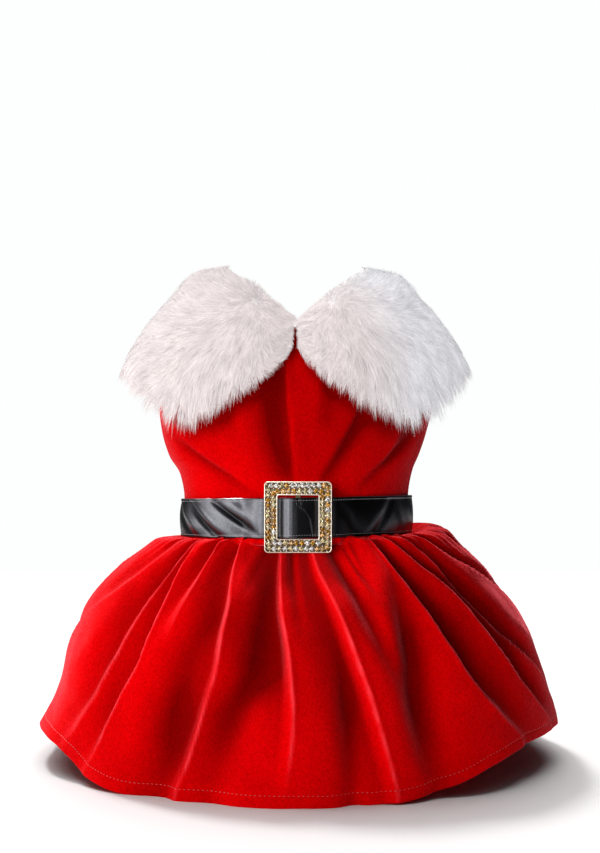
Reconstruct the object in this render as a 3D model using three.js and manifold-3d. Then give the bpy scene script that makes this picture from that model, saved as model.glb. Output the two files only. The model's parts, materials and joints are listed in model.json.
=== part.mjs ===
// A small dog's Christmas dress, standing filled out on its hem as if worn: a sleeveless velvet bodice with a
// V neck and two leg holes, two lobes of white fur collar over the shoulders, a satin ribbon belt with a stone-set
// slide buckle, and a gathered bell skirt with a turned hem.
// Millimetres, +Z up. The side with the buckle, which lies on the dog's back, faces -Y.
// Azimuths are in degrees: 0 at the buckle, 90 at +X, 180 at the rear.
import * as THREE from "three";
import Module from "manifold-3d";
import { mergeVertices } from "three/addons/utils/BufferGeometryUtils.js";

const wasm = await Module();
wasm.setup();

// ---- Driving sizes ----
const VELVET = 1.5; // thickness of one layer of velvet
const HEM_FOLD = 1.0; // what the turned hem adds to the wall, on its inside
const HEM_DEPTH = 0.94; // share of the skirt's fall where the turned hem begins
const RIBBON = 1.1; // thickness of the belt
const BELT_WIDTH = 25;
const SEAM_GAP = 0.3; // between pieces that are sewn together
const WAIST = 154.5; // height of the waist seam at the sides
const WAIST_TILT = 2.2; // how much higher it is at the buckle, and lower at the rear
const WAIST_ROLL = 1.2; // how much higher it is at +X, and lower at -X
const NECK_LOW = 275.5; // bodice edge in the notch of the V
const NECK_HIGH = 315.5; // bodice edge on top of the shoulder
const COLLAR_CENTRE = -3; // the notch lies this far from the middle, towards -X

// The skirt's rings, from the seam to the hem. height is the share of the way up from hem to seam,
// and the other columns are the half widths and half depths of the ring.
const SKIRT = [
  { fall: 0.0, height: 1.0, left: 76.5, right: 71.6, front: 59.6, rear: 56.6 },
  { fall: 0.07, height: 0.898, left: 77.2, right: 72.2, front: 60.2, rear: 57.2 },
  { fall: 0.1, height: 0.916, left: 86, right: 86, front: 66, rear: 64 },
  { fall: 0.14, height: 0.908, left: 95, right: 98, front: 70, rear: 70 },
  { fall: 0.2, height: 0.866, left: 104, right: 107, front: 77, rear: 79 },
  { fall: 0.3, height: 0.765, left: 119.5, right: 120.5, front: 91, rear: 92 },
  { fall: 0.4, height: 0.66, left: 133, right: 131, front: 104, rear: 103 },
  { fall: 0.5, height: 0.55, left: 143, right: 143, front: 116, rear: 113 },
  { fall: 0.6, height: 0.424, left: 150, right: 153, front: 126, rear: 122 },
  { fall: 0.7, height: 0.3, left: 155.5, right: 158.5, front: 134, rear: 130 },
  { fall: 0.8, height: 0.19, left: 159.5, right: 163.5, front: 140, rear: 136 },
  { fall: 0.9, height: 0.087, left: 164, right: 167.5, front: 145, rear: 141 },
  { fall: 1.0, height: 0.0, left: 170, right: 169, front: 150, rear: 145 },
];
const SKIRT_FALLS = [0, 0.07, 0.1, 0.14, 0.2, 0.29, 0.39, 0.5, 0.62, 0.77, HEM_DEPTH, 1];

// How far the hem stands off the floor.
const HEM_LIFT = [
  { azimuth: -180, lift: 0 },
  { azimuth: -150, lift: 0 },
  { azimuth: -115, lift: 13 },
  { azimuth: -90, lift: 21 },
  { azimuth: -72, lift: 21 },
  { azimuth: -60, lift: 15.5 },
  { azimuth: -48, lift: 5 },
  { azimuth: -34, lift: 0 },
  { azimuth: 12, lift: 0 },
  { azimuth: 30, lift: 5 },
  { azimuth: 42, lift: 15 },
  { azimuth: 56, lift: 21.5 },
  { azimuth: 75, lift: 22.5 },
  { azimuth: 90, lift: 21 },
  { azimuth: 115, lift: 13 },
  { azimuth: 150, lift: 0 },
  { azimuth: 180, lift: 0 },
];

// Folds of the skirt, each a trough in the cloth. at and deep are its azimuth and its depth at the six FOLD_FALLS.
// Where side is 1 or -1, at is a ridge and the trough lies on its right or left: near is how far its floor is from
// the ridge and far how wide it fades beyond. Where side is 0, at is the floor of a soft trough, near and far wide on
// its left and right. Widths are in degrees half way down.
const FOLD_FALLS = [0.1, 0.25, 0.4, 0.55, 0.7, 0.95];
const FOLDS = [
  { at: [-53, -57, -64, -79, -92, -100], deep: [3, 4, 3.5, 2, 2, 0], side: -1, near: 3, far: 7 },
  { at: [-47, -46, -47.5, -49.5, -53.5, -60], deep: [4, 6, 6.5, 6, 5, 0.5], side: -1, near: 2.4, far: 7 },
  { at: [-42, -41, -40, -41, -45, -49.5], deep: [4, 7, 8, 7, 6.5, 1], side: -1, near: 2.2, far: 6 },
  { at: [-33, -32.5, -33.5, -36, -40, -44], deep: [4, 6, 3, 0, 0, 0], side: -1, near: 2.4, far: 4 },
  { at: [-29, -26, -25.5, -28.5, -30, -31], deep: [0, 1, 4, 8, 10, 5], side: 0, near: 6, far: 5 },
  { at: [-26, -23, -19.5, -19.5, -22, -25.5], deep: [4, 6, 7, 6, 6, 3], side: -1, near: 2.2, far: 5 },
  { at: [-14, -11, -9, -9.5, -15.5, -19], deep: [2, 4, 5, 7, 10, 5], side: 0, near: 6, far: 5 },
  { at: [-9.5, -7, -5, -2.5, -1.5, -3], deep: [5, 7, 9, 11, 6, 0], side: -1, near: 2.4, far: 9 },
  { at: [-5, -3, -0.5, 1, 2, 2], deep: [4, 4, 2, 0, 0, 0], side: 0, near: 1.8, far: 1.8 },
  { at: [2.5, 5.5, 10, 13, 16, 19], deep: [4, 7, 10, 11, 9, 3], side: -1, near: 2.4, far: 8 },
  { at: [10.5, 10.5, 10.5, 10.5, 10.5, 10.5], deep: [0, 0, 0, 1, 5, 4], side: 0, near: 2.5, far: 2.5 },
  { at: [10.5, 13.5, 17.5, 21, 25, 28], deep: [6, 8, 7.5, 4, 1, 0], side: 0, near: 2.4, far: 3 },
  { at: [16, 18.5, 24, 28, 28, 28], deep: [2.5, 2.5, 0, 0, 0, 0], side: 0, near: 1.3, far: 1.3 },
  { at: [31, 30, 29, 28, 27, 29], deep: [0, 1, 7, 12, 11, 5], side: 0, near: 4, far: 5 },
  { at: [27, 30, 34.5, 37.5, 42.5, 53], deep: [4, 9, 10, 9, 7, 1.5], side: 1, near: 2.2, far: 7 },
  { at: [33, 39.5, 47.5, 51, 57, 70], deep: [4, 7, 8, 9, 8, 0.5], side: 1, near: 2.2, far: 6 },
  { at: [41, 46.5, 52, 57.5, 70.5, 82], deep: [3, 5, 7, 7, 6, 0], side: 1, near: 2.2, far: 6 },
  { at: [49, 58, 77, 88, 95, 103], deep: [4, 6, 4.5, 4, 3, 0], side: 1, near: 3, far: 7 },
  { at: [66, 78, 91, 100, 106, 113], deep: [4, 4.5, 4, 4, 4, 2], side: 1, near: 4, far: 7 },
  { at: [84, 96, 106, 111, 115, 119], deep: [5, 6, 7, 7, 6, 4], side: 1, near: 3, far: 7 },
  { at: [112, 118, 124, 128, 130, 131], deep: [5, 7, 9, 9, 8, 4], side: -1, near: 3, far: 6 },
  { at: [128, 133, 137, 139, 141, 143], deep: [5, 7, 10, 11, 9, 5], side: 1, near: 2.6, far: 7 },
  { at: [147, 150, 152, 154, 155, 156], deep: [5, 7, 9, 10, 8, 5], side: -1, near: 3, far: 6 },
  { at: [160, 162, 163, 164, 165, 166], deep: [5, 6, 7, 7, 6, 4], side: 1, near: 2.4, far: 6 },
  { at: [176, 176, 176, 176, 177, 177], deep: [5, 7, 9, 11, 10, 5], side: 0, near: 5, far: 6 },
  { at: [-162, -163, -164, -165, -166, -166], deep: [5, 7, 8, 9, 8, 4], side: -1, near: 2.6, far: 7 },
  { at: [-148, -150, -152, -154, -155, -155], deep: [5, 7, 9, 10, 9, 5], side: 1, near: 3, far: 7 },
  { at: [-130, -134, -137, -139, -140, -141], deep: [5, 7, 9, 9, 7, 4], side: -1, near: 2.4, far: 6 },
  { at: [-112, -118, -122, -125, -127, -128], deep: [5, 7, 9, 10, 9, 5], side: -1, near: 3, far: 7 },
  { at: [-94, -101, -107, -111, -114, -116], deep: [5, 6, 7, 7, 6, 3], side: -1, near: 3, far: 7 },
  { at: [-76, -86, -96, -101, -104, -107], deep: [4, 5, 5, 5, 4, 1], side: -1, near: 4, far: 6 },
];
const NEAREST = 3.4; // the least width of a ridge's steep side in the wall

// The buckle presses the skirt's gathers in behind its lower edge.
const PRESSED = { azimuth: -1, wide: 25, deep: 13.5, from: 0.07, middle: 0.17, to: 0.4 };

// The cloth puffs up over the belt's lower edge behind its +X end.
const PUFF = { azimuth: 108, wide: 38, rise: 6.5, from: 0.07, peak: 0.105, to: 0.24 };

// The bodice's rings, from the neck edge to the seam. height is the share of the way up from seam to neck edge.
const BODICE = [
  { fall: 0.0, height: 1.0, left: 50.5, right: 44.5, front: 47, rear: 44 },
  { fall: 0.08, height: 0.93, left: 59.5, right: 54.5, front: 50, rear: 47 },
  { fall: 0.16, height: 0.85, left: 69.5, right: 66, front: 54, rear: 51 },
  { fall: 0.26, height: 0.75, left: 80, right: 78, front: 59, rear: 56 },
  { fall: 0.36, height: 0.65, left: 89, right: 86, front: 63, rear: 60 },
  { fall: 0.46, height: 0.55, left: 93.5, right: 89, front: 65.5, rear: 62.5 },
  { fall: 0.56, height: 0.45, left: 94, right: 88, front: 66.5, rear: 63 },
  { fall: 0.66, height: 0.35, left: 92, right: 84.5, front: 66, rear: 62 },
  { fall: 0.76, height: 0.25, left: 87, right: 79.5, front: 64, rear: 60 },
  { fall: 0.83, height: 0.18, left: 80, right: 75, front: 61.5, rear: 58 },
  { fall: 0.9, height: 0.1, left: 77.3, right: 72.6, front: 60.2, rear: 57.2 },
  { fall: 1.0, height: 0.0, left: 76.5, right: 71.6, front: 59.6, rear: 56.6 },
];

// Soft creases in the bodice: each runs from one azimuth and fall to another, with a side, near and far as a fold has.
const CREASES = [
  { from: -7, start: 0.06, to: -1, end: 0.88, deep: 3.2, side: -1, near: 2.6, far: 8 },
  { from: 11, start: 0.12, to: 6, end: 0.6, deep: 1.2, side: 1, near: 4, far: 6 },
  { from: 30, start: 0.4, to: 5, end: 0.9, deep: 2.5, side: 1, near: 3, far: 7 },
  { from: 62, start: 0.62, to: 24, end: 0.9, deep: 2.2, side: 1, near: 3.4, far: 7 },
  { from: 70, start: 0.3, to: 40, end: 0.82, deep: 1.9, side: 1, near: 4.5, far: 9 },
  { from: -58, start: 0.66, to: -18, end: 0.9, deep: 2.0, side: -1, near: 3.4, far: 8 },
  { from: -34, start: 0.2, to: -20, end: 0.68, deep: 1.0, side: -1, near: 6, far: 9 },
  { from: 150, start: 0.2, to: 165, end: 0.95, deep: 2.2, side: 1, near: 3, far: 9 },
  { from: -150, start: 0.3, to: -168, end: 0.9, deep: 2.2, side: -1, near: 3, far: 9 },
];

// Leg holes, one at each side: an oval through the side seam.
const LEG_HOLE = { height: 247, halfHeight: 23, halfDepth: 25, from: 50, to: 110 };

// The collar's rings by azimuth, in the upright plane of each: where its outer edge lies, and the elbow that it
// bends over on its way there from the neck.
const COLLAR = [
  { azimuth: 3, edgeOut: 58, edgeUp: 262, elbowOut: 55, elbowUp: 276 },
  { azimuth: 13, edgeOut: 69, edgeUp: 245, elbowOut: 64, elbowUp: 278 },
  { azimuth: 25, edgeOut: 76, edgeUp: 233, elbowOut: 73, elbowUp: 281 },
  { azimuth: 38, edgeOut: 82, edgeUp: 221, elbowOut: 81, elbowUp: 284 },
  { azimuth: 52, edgeOut: 89, edgeUp: 213.5, elbowOut: 88, elbowUp: 288 },
  { azimuth: 66, edgeOut: 98, edgeUp: 221, elbowOut: 92, elbowUp: 294 },
  { azimuth: 78, edgeOut: 108, edgeUp: 235, elbowOut: 92, elbowUp: 299 },
  { azimuth: 90, edgeOut: 115.5, edgeUp: 248, elbowOut: 90, elbowUp: 301 },
  { azimuth: 102, edgeOut: 107, edgeUp: 236, elbowOut: 91, elbowUp: 298 },
  { azimuth: 114, edgeOut: 97, edgeUp: 223, elbowOut: 91, elbowUp: 292 },
  { azimuth: 128, edgeOut: 87, edgeUp: 221, elbowOut: 86, elbowUp: 286 },
  { azimuth: 142, edgeOut: 79, edgeUp: 230, elbowOut: 78, elbowUp: 281 },
  { azimuth: 155, edgeOut: 73, edgeUp: 241, elbowOut: 70, elbowUp: 279 },
  { azimuth: 167, edgeOut: 66, edgeUp: 250, elbowOut: 62, elbowUp: 277 },
  { azimuth: 177, edgeOut: 58, edgeUp: 260, elbowOut: 55, elbowUp: 275 },
];
const FUR_OUT = 6; // pile over the collar's middle surface
const FUR_IN = 3.6; // backing and pile under it
const COLLAR_NECK = { half: 47.5, front: 48.3, rear: 44.9 }; // where it is sewn on
const COLLAR_RISE = 2.4; // the middle surface over the bodice's neck edge

// The slide buckle, an upright oblong frame with a bar behind its opening.
const BUCKLE = { width: 41.8, height: 44, opening: 25.4, openingHeight: 27, plate: 2, rim: 0.9, rimHeight: 0.8 };
const BUCKLE_PLACE = { x: -1.2, y: -65.4, z: 157.2 }; // middle of the plate's back
const BUCKLE_CORNER = { outer: 2.2, inner: 0.8 };
const BAR = { width: 3, thick: 1 };
// The ribbon's outer face where it lies behind the buckle, and where it climbs over the bar.
const BEHIND = { reach: 64.8, flat: 22, end: 36 };
const HUMP = { reach: 67.9, flat: 3, end: 11 };

const RED = 0xb8050a;
const WHITE = 0xece8e8;
const BLACK = 0x17181c;
const GOLD = 0xd9c391;

const radians = (degrees) => (degrees * Math.PI) / 180;
const mix = (a, b, share) => a + (b - a) * share;
const smooth = (share) => {
  const s = Math.min(1, Math.max(0, share));
  return s * s * (3 - 2 * s);
};

// A column of a table at any place between its rows, on a smooth curve that doesn't overshoot.
function read(table, place, column, at) {
  const last = table.length - 1;
  const x = Math.min(Math.max(at, table[0][place]), table[last][place]);
  let k = 0;
  while (k < last - 1 && x > table[k + 1][place]) k += 1;
  const slope = (i) => (table[i + 1][column] - table[i][column]) / (table[i + 1][place] - table[i][place]);
  const tangent = (i) => {
    if (i === 0 || i === last) return slope(i === 0 ? 0 : last - 1);
    const [before, after] = [slope(i - 1), slope(i)];
    return before * after <= 0 ? 0 : (2 * before * after) / (before + after);
  };
  const span = table[k + 1][place] - table[k][place];
  const s = (x - table[k][place]) / span;
  const [p, q] = [table[k][column], table[k + 1][column]];
  const curve = s * s * (3 - 2 * s);
  return mix(p, q, curve) + span * s * (1 - s) * ((1 - s) * tangent(k) - s * tangent(k + 1));
}

// How near an azimuth is to another, in degrees from -180 to 180.
const turn = (from, to) => ((((to - from) % 360) + 540) % 360) - 180;

// A point on a ring with its own half width at each side and half depth at front and rear.
function ringPoint(table, fall, azimuth, inwards) {
  const [s, c] = [Math.sin(radians(azimuth)), Math.cos(radians(azimuth))];
  const half = read(table, "fall", s > 0 ? "right" : "left", fall) - inwards;
  const depth = read(table, "fall", c > 0 ? "front" : "rear", fall) - inwards;
  return new THREE.Vector3(half * s, -depth * c, 0);
}

const seamHeight = (azimuth) =>
  WAIST + WAIST_TILT * Math.cos(radians(azimuth)) + WAIST_ROLL * Math.sin(radians(azimuth));
// The neck edge's height at a place across the garment, from the notch to the top of the shoulder.
const neckHeight = (x) => mix(NECK_LOW, NECK_HIGH, Math.min(1, Math.abs(x) / COLLAR_NECK.half) ** 0.85);

// A value that is given at the six FOLD_FALLS, at any fall.
const foldRows = (values) => FOLD_FALLS.map((fall, i) => ({ fall, value: values[i] }));
const SKIRT_FOLDS = FOLDS.map((fold) => ({ ...fold, at: foldRows(fold.at), deep: foldRows(fold.deep) }));
const along = (rows, fall) => read(rows, "fall", "value", fall);

// How much of its depth a fold takes at a place that is off degrees past its line.
function foldShare(off, side, near, far) {
  const past = off * side;
  const floor = Math.max(near, NEAREST);
  if (side === 0) return Math.exp(-((off / (off < 0 ? floor : Math.max(far, NEAREST))) ** 2));
  if (past < floor) return Math.max(0, past / floor) ** 0.8;
  return Math.exp(-(((past - floor) / far) ** 2));
}

// What the folds take in from the skirt's full ring, at an azimuth and a fall.
function skirtFolds(azimuth, fall) {
  const begun = smooth((fall - 0.07) / 0.08);
  const narrow = mix(0.62, 1, smooth(fall * 2));
  let taken = 0;
  for (const fold of SKIRT_FOLDS) {
    const off = turn(along(fold.at, fall), azimuth) / narrow;
    taken += along(fold.deep, fall) * foldShare(off, fold.side, fold.near, fold.far);
  }
  const near = turn(PRESSED.azimuth, azimuth) / PRESSED.wide;
  const down =
    fall < PRESSED.middle
      ? smooth((fall - PRESSED.from) / (PRESSED.middle - PRESSED.from))
      : smooth((PRESSED.to - fall) / (PRESSED.to - PRESSED.middle));
  return begun * taken + PRESSED.deep * down * Math.exp(-(near ** 4));
}

function skirtPuff(azimuth, fall) {
  const up = smooth((fall - PUFF.from) / (PUFF.peak - PUFF.from));
  const down = smooth((PUFF.to - fall) / (PUFF.to - PUFF.peak));
  return PUFF.rise * (fall < PUFF.peak ? up : down) * Math.exp(-((turn(PUFF.azimuth, azimuth) / PUFF.wide) ** 2));
}

function skirtSurface(azimuth, fall) {
  const point = ringPoint(SKIRT, fall, azimuth, skirtFolds(azimuth, fall));
  const height = read(SKIRT, "fall", "height", fall);
  const lift = read(HEM_LIFT, "azimuth", "lift", turn(0, azimuth)) * smooth((1 - height) * 4);
  return point.setZ(mix(lift, seamHeight(azimuth) - SEAM_GAP / 2, height) + skirtPuff(azimuth, fall));
}

// What the creases take in from the bodice.
function bodiceFolds(azimuth, fall) {
  let taken = 0;
  for (const crease of CREASES) {
    const share = (fall - crease.start) / (crease.end - crease.start);
    if (share <= 0 || share >= 1) continue;
    const off = turn(mix(crease.from, crease.to, share), azimuth);
    taken += crease.deep * Math.sin(Math.PI * share) ** 0.7 * foldShare(off, crease.side, crease.near, crease.far);
  }
  return taken;
}

function bodiceSurface(azimuth, fall) {
  const point = ringPoint(BODICE, fall, azimuth, bodiceFolds(azimuth, fall));
  const neck = neckHeight(ringPoint(BODICE, 0, azimuth, 0).x - COLLAR_CENTRE);
  return point.setZ(mix(seamHeight(azimuth) + SEAM_GAP / 2, neck, read(BODICE, "fall", "height", fall)));
}

// The belt lies just outside the seam, and climbs over the buckle's bar.
function beltSurface(azimuth, share) {
  const bow = 1.1 * Math.sin(Math.PI * share);
  const point = ringPoint(BODICE, 0.92, azimuth, -(SEAM_GAP + RIBBON + bow));
  if (point.y < 0) {
    const aside = Math.abs(point.x - BUCKLE_PLACE.x);
    for (const { reach, flat, end } of [BEHIND, HUMP]) {
      point.y = mix(point.y, -reach, smooth((end - aside) / (end - flat)));
    }
  }
  return point.setZ(seamHeight(azimuth) + BELT_WIDTH * (0.5 - share));
}

// The collar's middle surface: over the elbow from the neck's edge to the collar's own, in one upright plane.
function collarSurface(azimuth, share) {
  const [s, c] = [Math.sin(radians(azimuth)), Math.cos(radians(azimuth))];
  const depth = c > 0 ? COLLAR_NECK.front : COLLAR_NECK.rear;
  const start = { out: Math.hypot(COLLAR_NECK.half * s, depth * c), up: neckHeight(COLLAR_NECK.half * s) + COLLAR_RISE };
  const elbow = { out: read(COLLAR, "azimuth", "elbowOut", azimuth), up: read(COLLAR, "azimuth", "elbowUp", azimuth) };
  const edge = { out: read(COLLAR, "azimuth", "edgeOut", azimuth), up: read(COLLAR, "azimuth", "edgeUp", azimuth) };
  const bend = (axis) =>
    (1 - share) ** 2 * start[axis] + 2 * share * (1 - share) * elbow[axis] + share ** 2 * edge[axis];
  return new THREE.Vector3(bend("out") * s, -bend("out") * c, bend("up"));
}

// ---- Walls from grids of points ----

// Points of a surface in columns of one azimuth each, and the surface's outward direction at each of them.
function gridOf(surface, azimuths, falls, trim) {
  const step = 0.02;
  return azimuths.map((azimuth) =>
    falls.map((fall) => {
      const at = trim ? trim(azimuth, fall) : azimuth;
      const point = surface(at, fall);
      const across = surface(at + step * 20, fall).sub(surface(at - step * 20, fall));
      const down = surface(at, Math.min(1, fall + step)).sub(surface(at, Math.max(0, fall - step)));
      return { point, out: down.cross(across).normalize() };
    })
  );
}

// The grid's points moved along its outward direction, by a distance that may depend on column and row.
const moved = (grid, distance) =>
  grid.map((column, i) =>
    column.map(({ point, out }, j) => point.clone().addScaledVector(out, distance(i, j)))
  );

// A closed wall between an outer and an inner grid. A ring joins its last column to its first.
function wallGeometry(outer, inner, ring) {
  const [columns, rows] = [outer.length, outer[0].length];
  const position = [outer, inner].flat(2).flatMap((p) => [p.x, p.y, p.z]);
  const at = (side, i, j) => side * columns * rows + (i % columns) * rows + j;
  const index = [];
  const quad = (a, b, c, d) => index.push(a, b, c, a, c, d);
  for (let i = 0; i < (ring ? columns : columns - 1); i += 1) {
    for (let j = 0; j < rows - 1; j += 1) {
      quad(at(0, i, j), at(0, i, j + 1), at(0, i + 1, j + 1), at(0, i + 1, j));
      quad(at(1, i, j), at(1, i + 1, j), at(1, i + 1, j + 1), at(1, i, j + 1));
    }
    const last = rows - 1;
    quad(at(0, i, 0), at(0, i + 1, 0), at(1, i + 1, 0), at(1, i, 0));
    quad(at(0, i, last), at(1, i, last), at(1, i + 1, last), at(0, i + 1, last));
  }
  if (!ring) {
    const last = columns - 1;
    for (let j = 0; j < rows - 1; j += 1) {
      quad(at(0, 0, j), at(1, 0, j), at(1, 0, j + 1), at(0, 0, j + 1));
      quad(at(0, last, j), at(0, last, j + 1), at(1, last, j + 1), at(1, last, j));
    }
  }
  return new THREE.BufferGeometry()
    .setAttribute("position", new THREE.BufferAttribute(new Float32Array(position), 3))
    .setIndex(index);
}

const evenly = (from, to, steps) => Array.from({ length: steps + 1 }, (_, i) => mix(from, to, i / steps));

// Keeps a panel's side edges half a seam's gap from the plane through its side seams.
function seamTrim(table, from, to) {
  return (azimuth, fall) => {
    const half = Math.min(read(table, "fall", "left", fall), read(table, "fall", "right", fall));
    const inset = ((SEAM_GAP / 2 / half) * 180) / Math.PI;
    return mix(from + inset, to - inset, (azimuth - from) / (to - from));
  };
}

// ---- Solids cut with manifold-3d ----

function toManifold(geometry) {
  const plain = geometry.index ? geometry.toNonIndexed() : geometry.clone();
  const merged = mergeVertices(
    new THREE.BufferGeometry().setAttribute("position", plain.getAttribute("position")),
    1e-3
  );
  return new wasm.Manifold(
    new wasm.Mesh({
      numProp: 3,
      vertProperties: merged.attributes.position.array,
      triVerts: new Uint32Array(merged.index.array),
    })
  );
}

function toGeometry(solid) {
  const mesh = solid.getMesh();
  return new THREE.BufferGeometry()
    .setAttribute("position", new THREE.BufferAttribute(new Float32Array(mesh.vertProperties), 3))
    .setIndex(new THREE.BufferAttribute(new Uint32Array(mesh.triVerts), 1));
}

function named(name, geometry, material) {
  const mesh = new THREE.Mesh(geometry, material);
  mesh.name = name;
  return mesh;
}

const cloth = (color, roughness) => new THREE.MeshStandardMaterial({ color, roughness, metalness: 0 });

// ---- Pieces ----

// One half of the skirt, between the side seams.
function skirtPanel(name, from, to) {
  const azimuths = evenly(from, to, 96);
  const grid = gridOf(skirtSurface, azimuths, SKIRT_FALLS, seamTrim(SKIRT, from, to));
  const outer = moved(grid, () => 0);
  const inner = moved(grid, (i, j) => -(VELVET + (SKIRT_FALLS[j] >= HEM_DEPTH ? HEM_FOLD : 0)));
  const last = SKIRT_FALLS.length - 1;
  inner.forEach((column, i) => {
    column[last].z = outer[i][last].z; // the hem's underside is level
    column[0].z = outer[i][0].z;
  });
  return named(name, wallGeometry(outer, inner, false), cloth(RED, 0.85));
}

function legHoleCutter(side) {
  const outline = new THREE.Shape();
  outline.absellipse(0, 0, LEG_HOLE.halfDepth, LEG_HOLE.halfHeight, 0, Math.PI * 2);
  const depth = LEG_HOLE.to - LEG_HOLE.from;
  const geometry = new THREE.ExtrudeGeometry(outline, { depth, bevelEnabled: false, curveSegments: 14 });
  geometry.rotateX(Math.PI / 2).rotateZ(Math.PI / 2); // the extrusion now runs along +X
  geometry.translate(side > 0 ? LEG_HOLE.from : -LEG_HOLE.to, 0, LEG_HOLE.height);
  return toManifold(geometry);
}

// One half of the bodice, between the side seams, with its halves of the leg holes cut out.
function bodicePanel(name, from, to) {
  const azimuths = evenly(from, to, 30);
  const falls = BODICE.map((row) => row.fall);
  const grid = gridOf(bodiceSurface, azimuths, falls, seamTrim(BODICE, from, to));
  const outer = moved(grid, () => 0);
  const inner = moved(grid, () => -VELVET);
  const last = falls.length - 1;
  inner.forEach((column, i) => {
    column[last].z = outer[i][last].z;
  });
  let solid = toManifold(wallGeometry(outer, inner, false));
  for (const side of [-1, 1]) solid = solid.subtract(legHoleCutter(side));
  return named(name, toGeometry(solid), cloth(RED, 0.85));
}

// One lobe of the fur collar, over one shoulder. side is 1 at +X and -1 at -X.
function collarLobe(name, side) {
  const azimuths = evenly(COLLAR[0].azimuth, COLLAR[COLLAR.length - 1].azimuth, 34);
  const shares = [0, 0.06, 0.18, 0.34, 0.52, 0.7, 0.86, 0.96, 1];
  const grid = gridOf(collarSurface, azimuths, shares);
  const fullness = (i, j) => {
    const end = Math.min(1, (i + 1.5) / 4, (azimuths.length - i + 0.5) / 4);
    return (0.35 + 0.65 * Math.sin(Math.PI * shares[j]) ** 0.5) * Math.sqrt(end);
  };
  const outer = moved(grid, (i, j) => FUR_OUT * fullness(i, j));
  const inner = moved(grid, (i, j) => -FUR_IN * fullness(i, j));
  for (const p of [outer, inner].flat(2)) p.x = COLLAR_CENTRE + side * p.x;
  const geometry = wallGeometry(outer, inner, false);
  if (side < 0) geometry.index.array.reverse();
  return named(name, geometry, cloth(WHITE, 0.95));
}

function belt(name) {
  const steps = 104;
  const azimuths = evenly(-180, 180, steps).slice(0, steps);
  const grid = gridOf(beltSurface, azimuths, [0, 0.5, 1]);
  const outer = moved(grid, () => 0);
  const inner = moved(grid, () => -RIBBON);
  return named(name, wallGeometry(outer, inner, true), cloth(BLACK, 0.35));
}

// A rectangle with round corners, centred on the origin, as a shape or a hole.
function roundedRectangle(Kind, width, height, corner) {
  const [x, y] = [width / 2, height / 2];
  const path = new Kind();
  path.moveTo(-x + corner, -y);
  path.lineTo(x - corner, -y);
  path.absarc(x - corner, -y + corner, corner, -Math.PI / 2, 0);
  path.lineTo(x, y - corner);
  path.absarc(x - corner, y - corner, corner, 0, Math.PI / 2);
  path.lineTo(-x + corner, y);
  path.absarc(-x + corner, y - corner, corner, Math.PI / 2, Math.PI);
  path.lineTo(-x, -y + corner);
  path.absarc(-x + corner, -y + corner, corner, Math.PI, Math.PI * 1.5);
  return path;
}

// A flat frame between two rounded rectangles, from one depth to another, drawn in XY.
function frameSolid(width, height, corner, border, from, to) {
  const shape = roundedRectangle(THREE.Shape, width, height, corner);
  shape.holes.push(
    roundedRectangle(THREE.Path, width - 2 * border.x, height - 2 * border.y, border.corner)
  );
  const geometry = new THREE.ExtrudeGeometry(shape, { depth: to - from, bevelEnabled: false, curveSegments: 4 });
  return toManifold(geometry.translate(0, 0, from));
}

// The buckle: a plate with a raised rim round its outside and its opening, where the stones sit between, and the bar.
function buckle(name) {
  const { width, height, opening, openingHeight, plate, rim, rimHeight } = BUCKLE;
  const side = { x: (width - opening) / 2, y: (height - openingHeight) / 2, corner: BUCKLE_CORNER.inner };
  const outerRim = { x: rim, y: rim, corner: BUCKLE_CORNER.outer - rim };
  const innerRim = { x: rim, y: rim, corner: BUCKLE_CORNER.inner };
  let solid = frameSolid(width, height, BUCKLE_CORNER.outer, side, 0, plate);
  solid = solid.add(frameSolid(width, height, BUCKLE_CORNER.outer, outerRim, plate / 2, plate + rimHeight));
  solid = solid.add(
    frameSolid(opening + 2 * rim, openingHeight + 2 * rim, BUCKLE_CORNER.inner + rim, innerRim, plate / 2, plate + rimHeight)
  );
  const bar = new THREE.BoxGeometry(BAR.width, openingHeight + 2, BAR.thick).translate(0, 0, BAR.thick / 2);
  const geometry = toGeometry(solid.add(toManifold(bar)));
  geometry.rotateX(Math.PI / 2).translate(BUCKLE_PLACE.x, BUCKLE_PLACE.y, BUCKLE_PLACE.z);
  return named(name, geometry, new THREE.MeshStandardMaterial({ color: GOLD, roughness: 0.3, metalness: 0.9 }));
}

const dress = new THREE.Group();
dress.add(
  skirtPanel("skirt_front", -90, 90),
  skirtPanel("skirt_rear", 90, 270),
  bodicePanel("bodice_front", -90, 90),
  bodicePanel("bodice_rear", 90, 270),
  collarLobe("collar_left", -1),
  collarLobe("collar_right", 1),
  belt("belt"),
  buckle("buckle")
);

// The frame's origin is under the middle of the whole garment, on the floor.
const box = new THREE.Box3().setFromObject(dress);
dress.position.set(-(box.min.x + box.max.x) / 2, -(box.min.y + box.max.y) / 2, -box.min.z);

export default dress;
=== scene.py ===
# A small dog's Christmas dress, standing on its hem: red velvet, a white fur collar, a black satin belt and a
# buckle set with stones. Sizes are in millimetres in the tables and metres in the scene. Azimuths are in
# degrees, 0 at the buckle (-Y), 90 at +X and 180 at the rear. A fall runs from 0 at a piece's upper edge to 1
# at its lower one.
import json
import math

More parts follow.
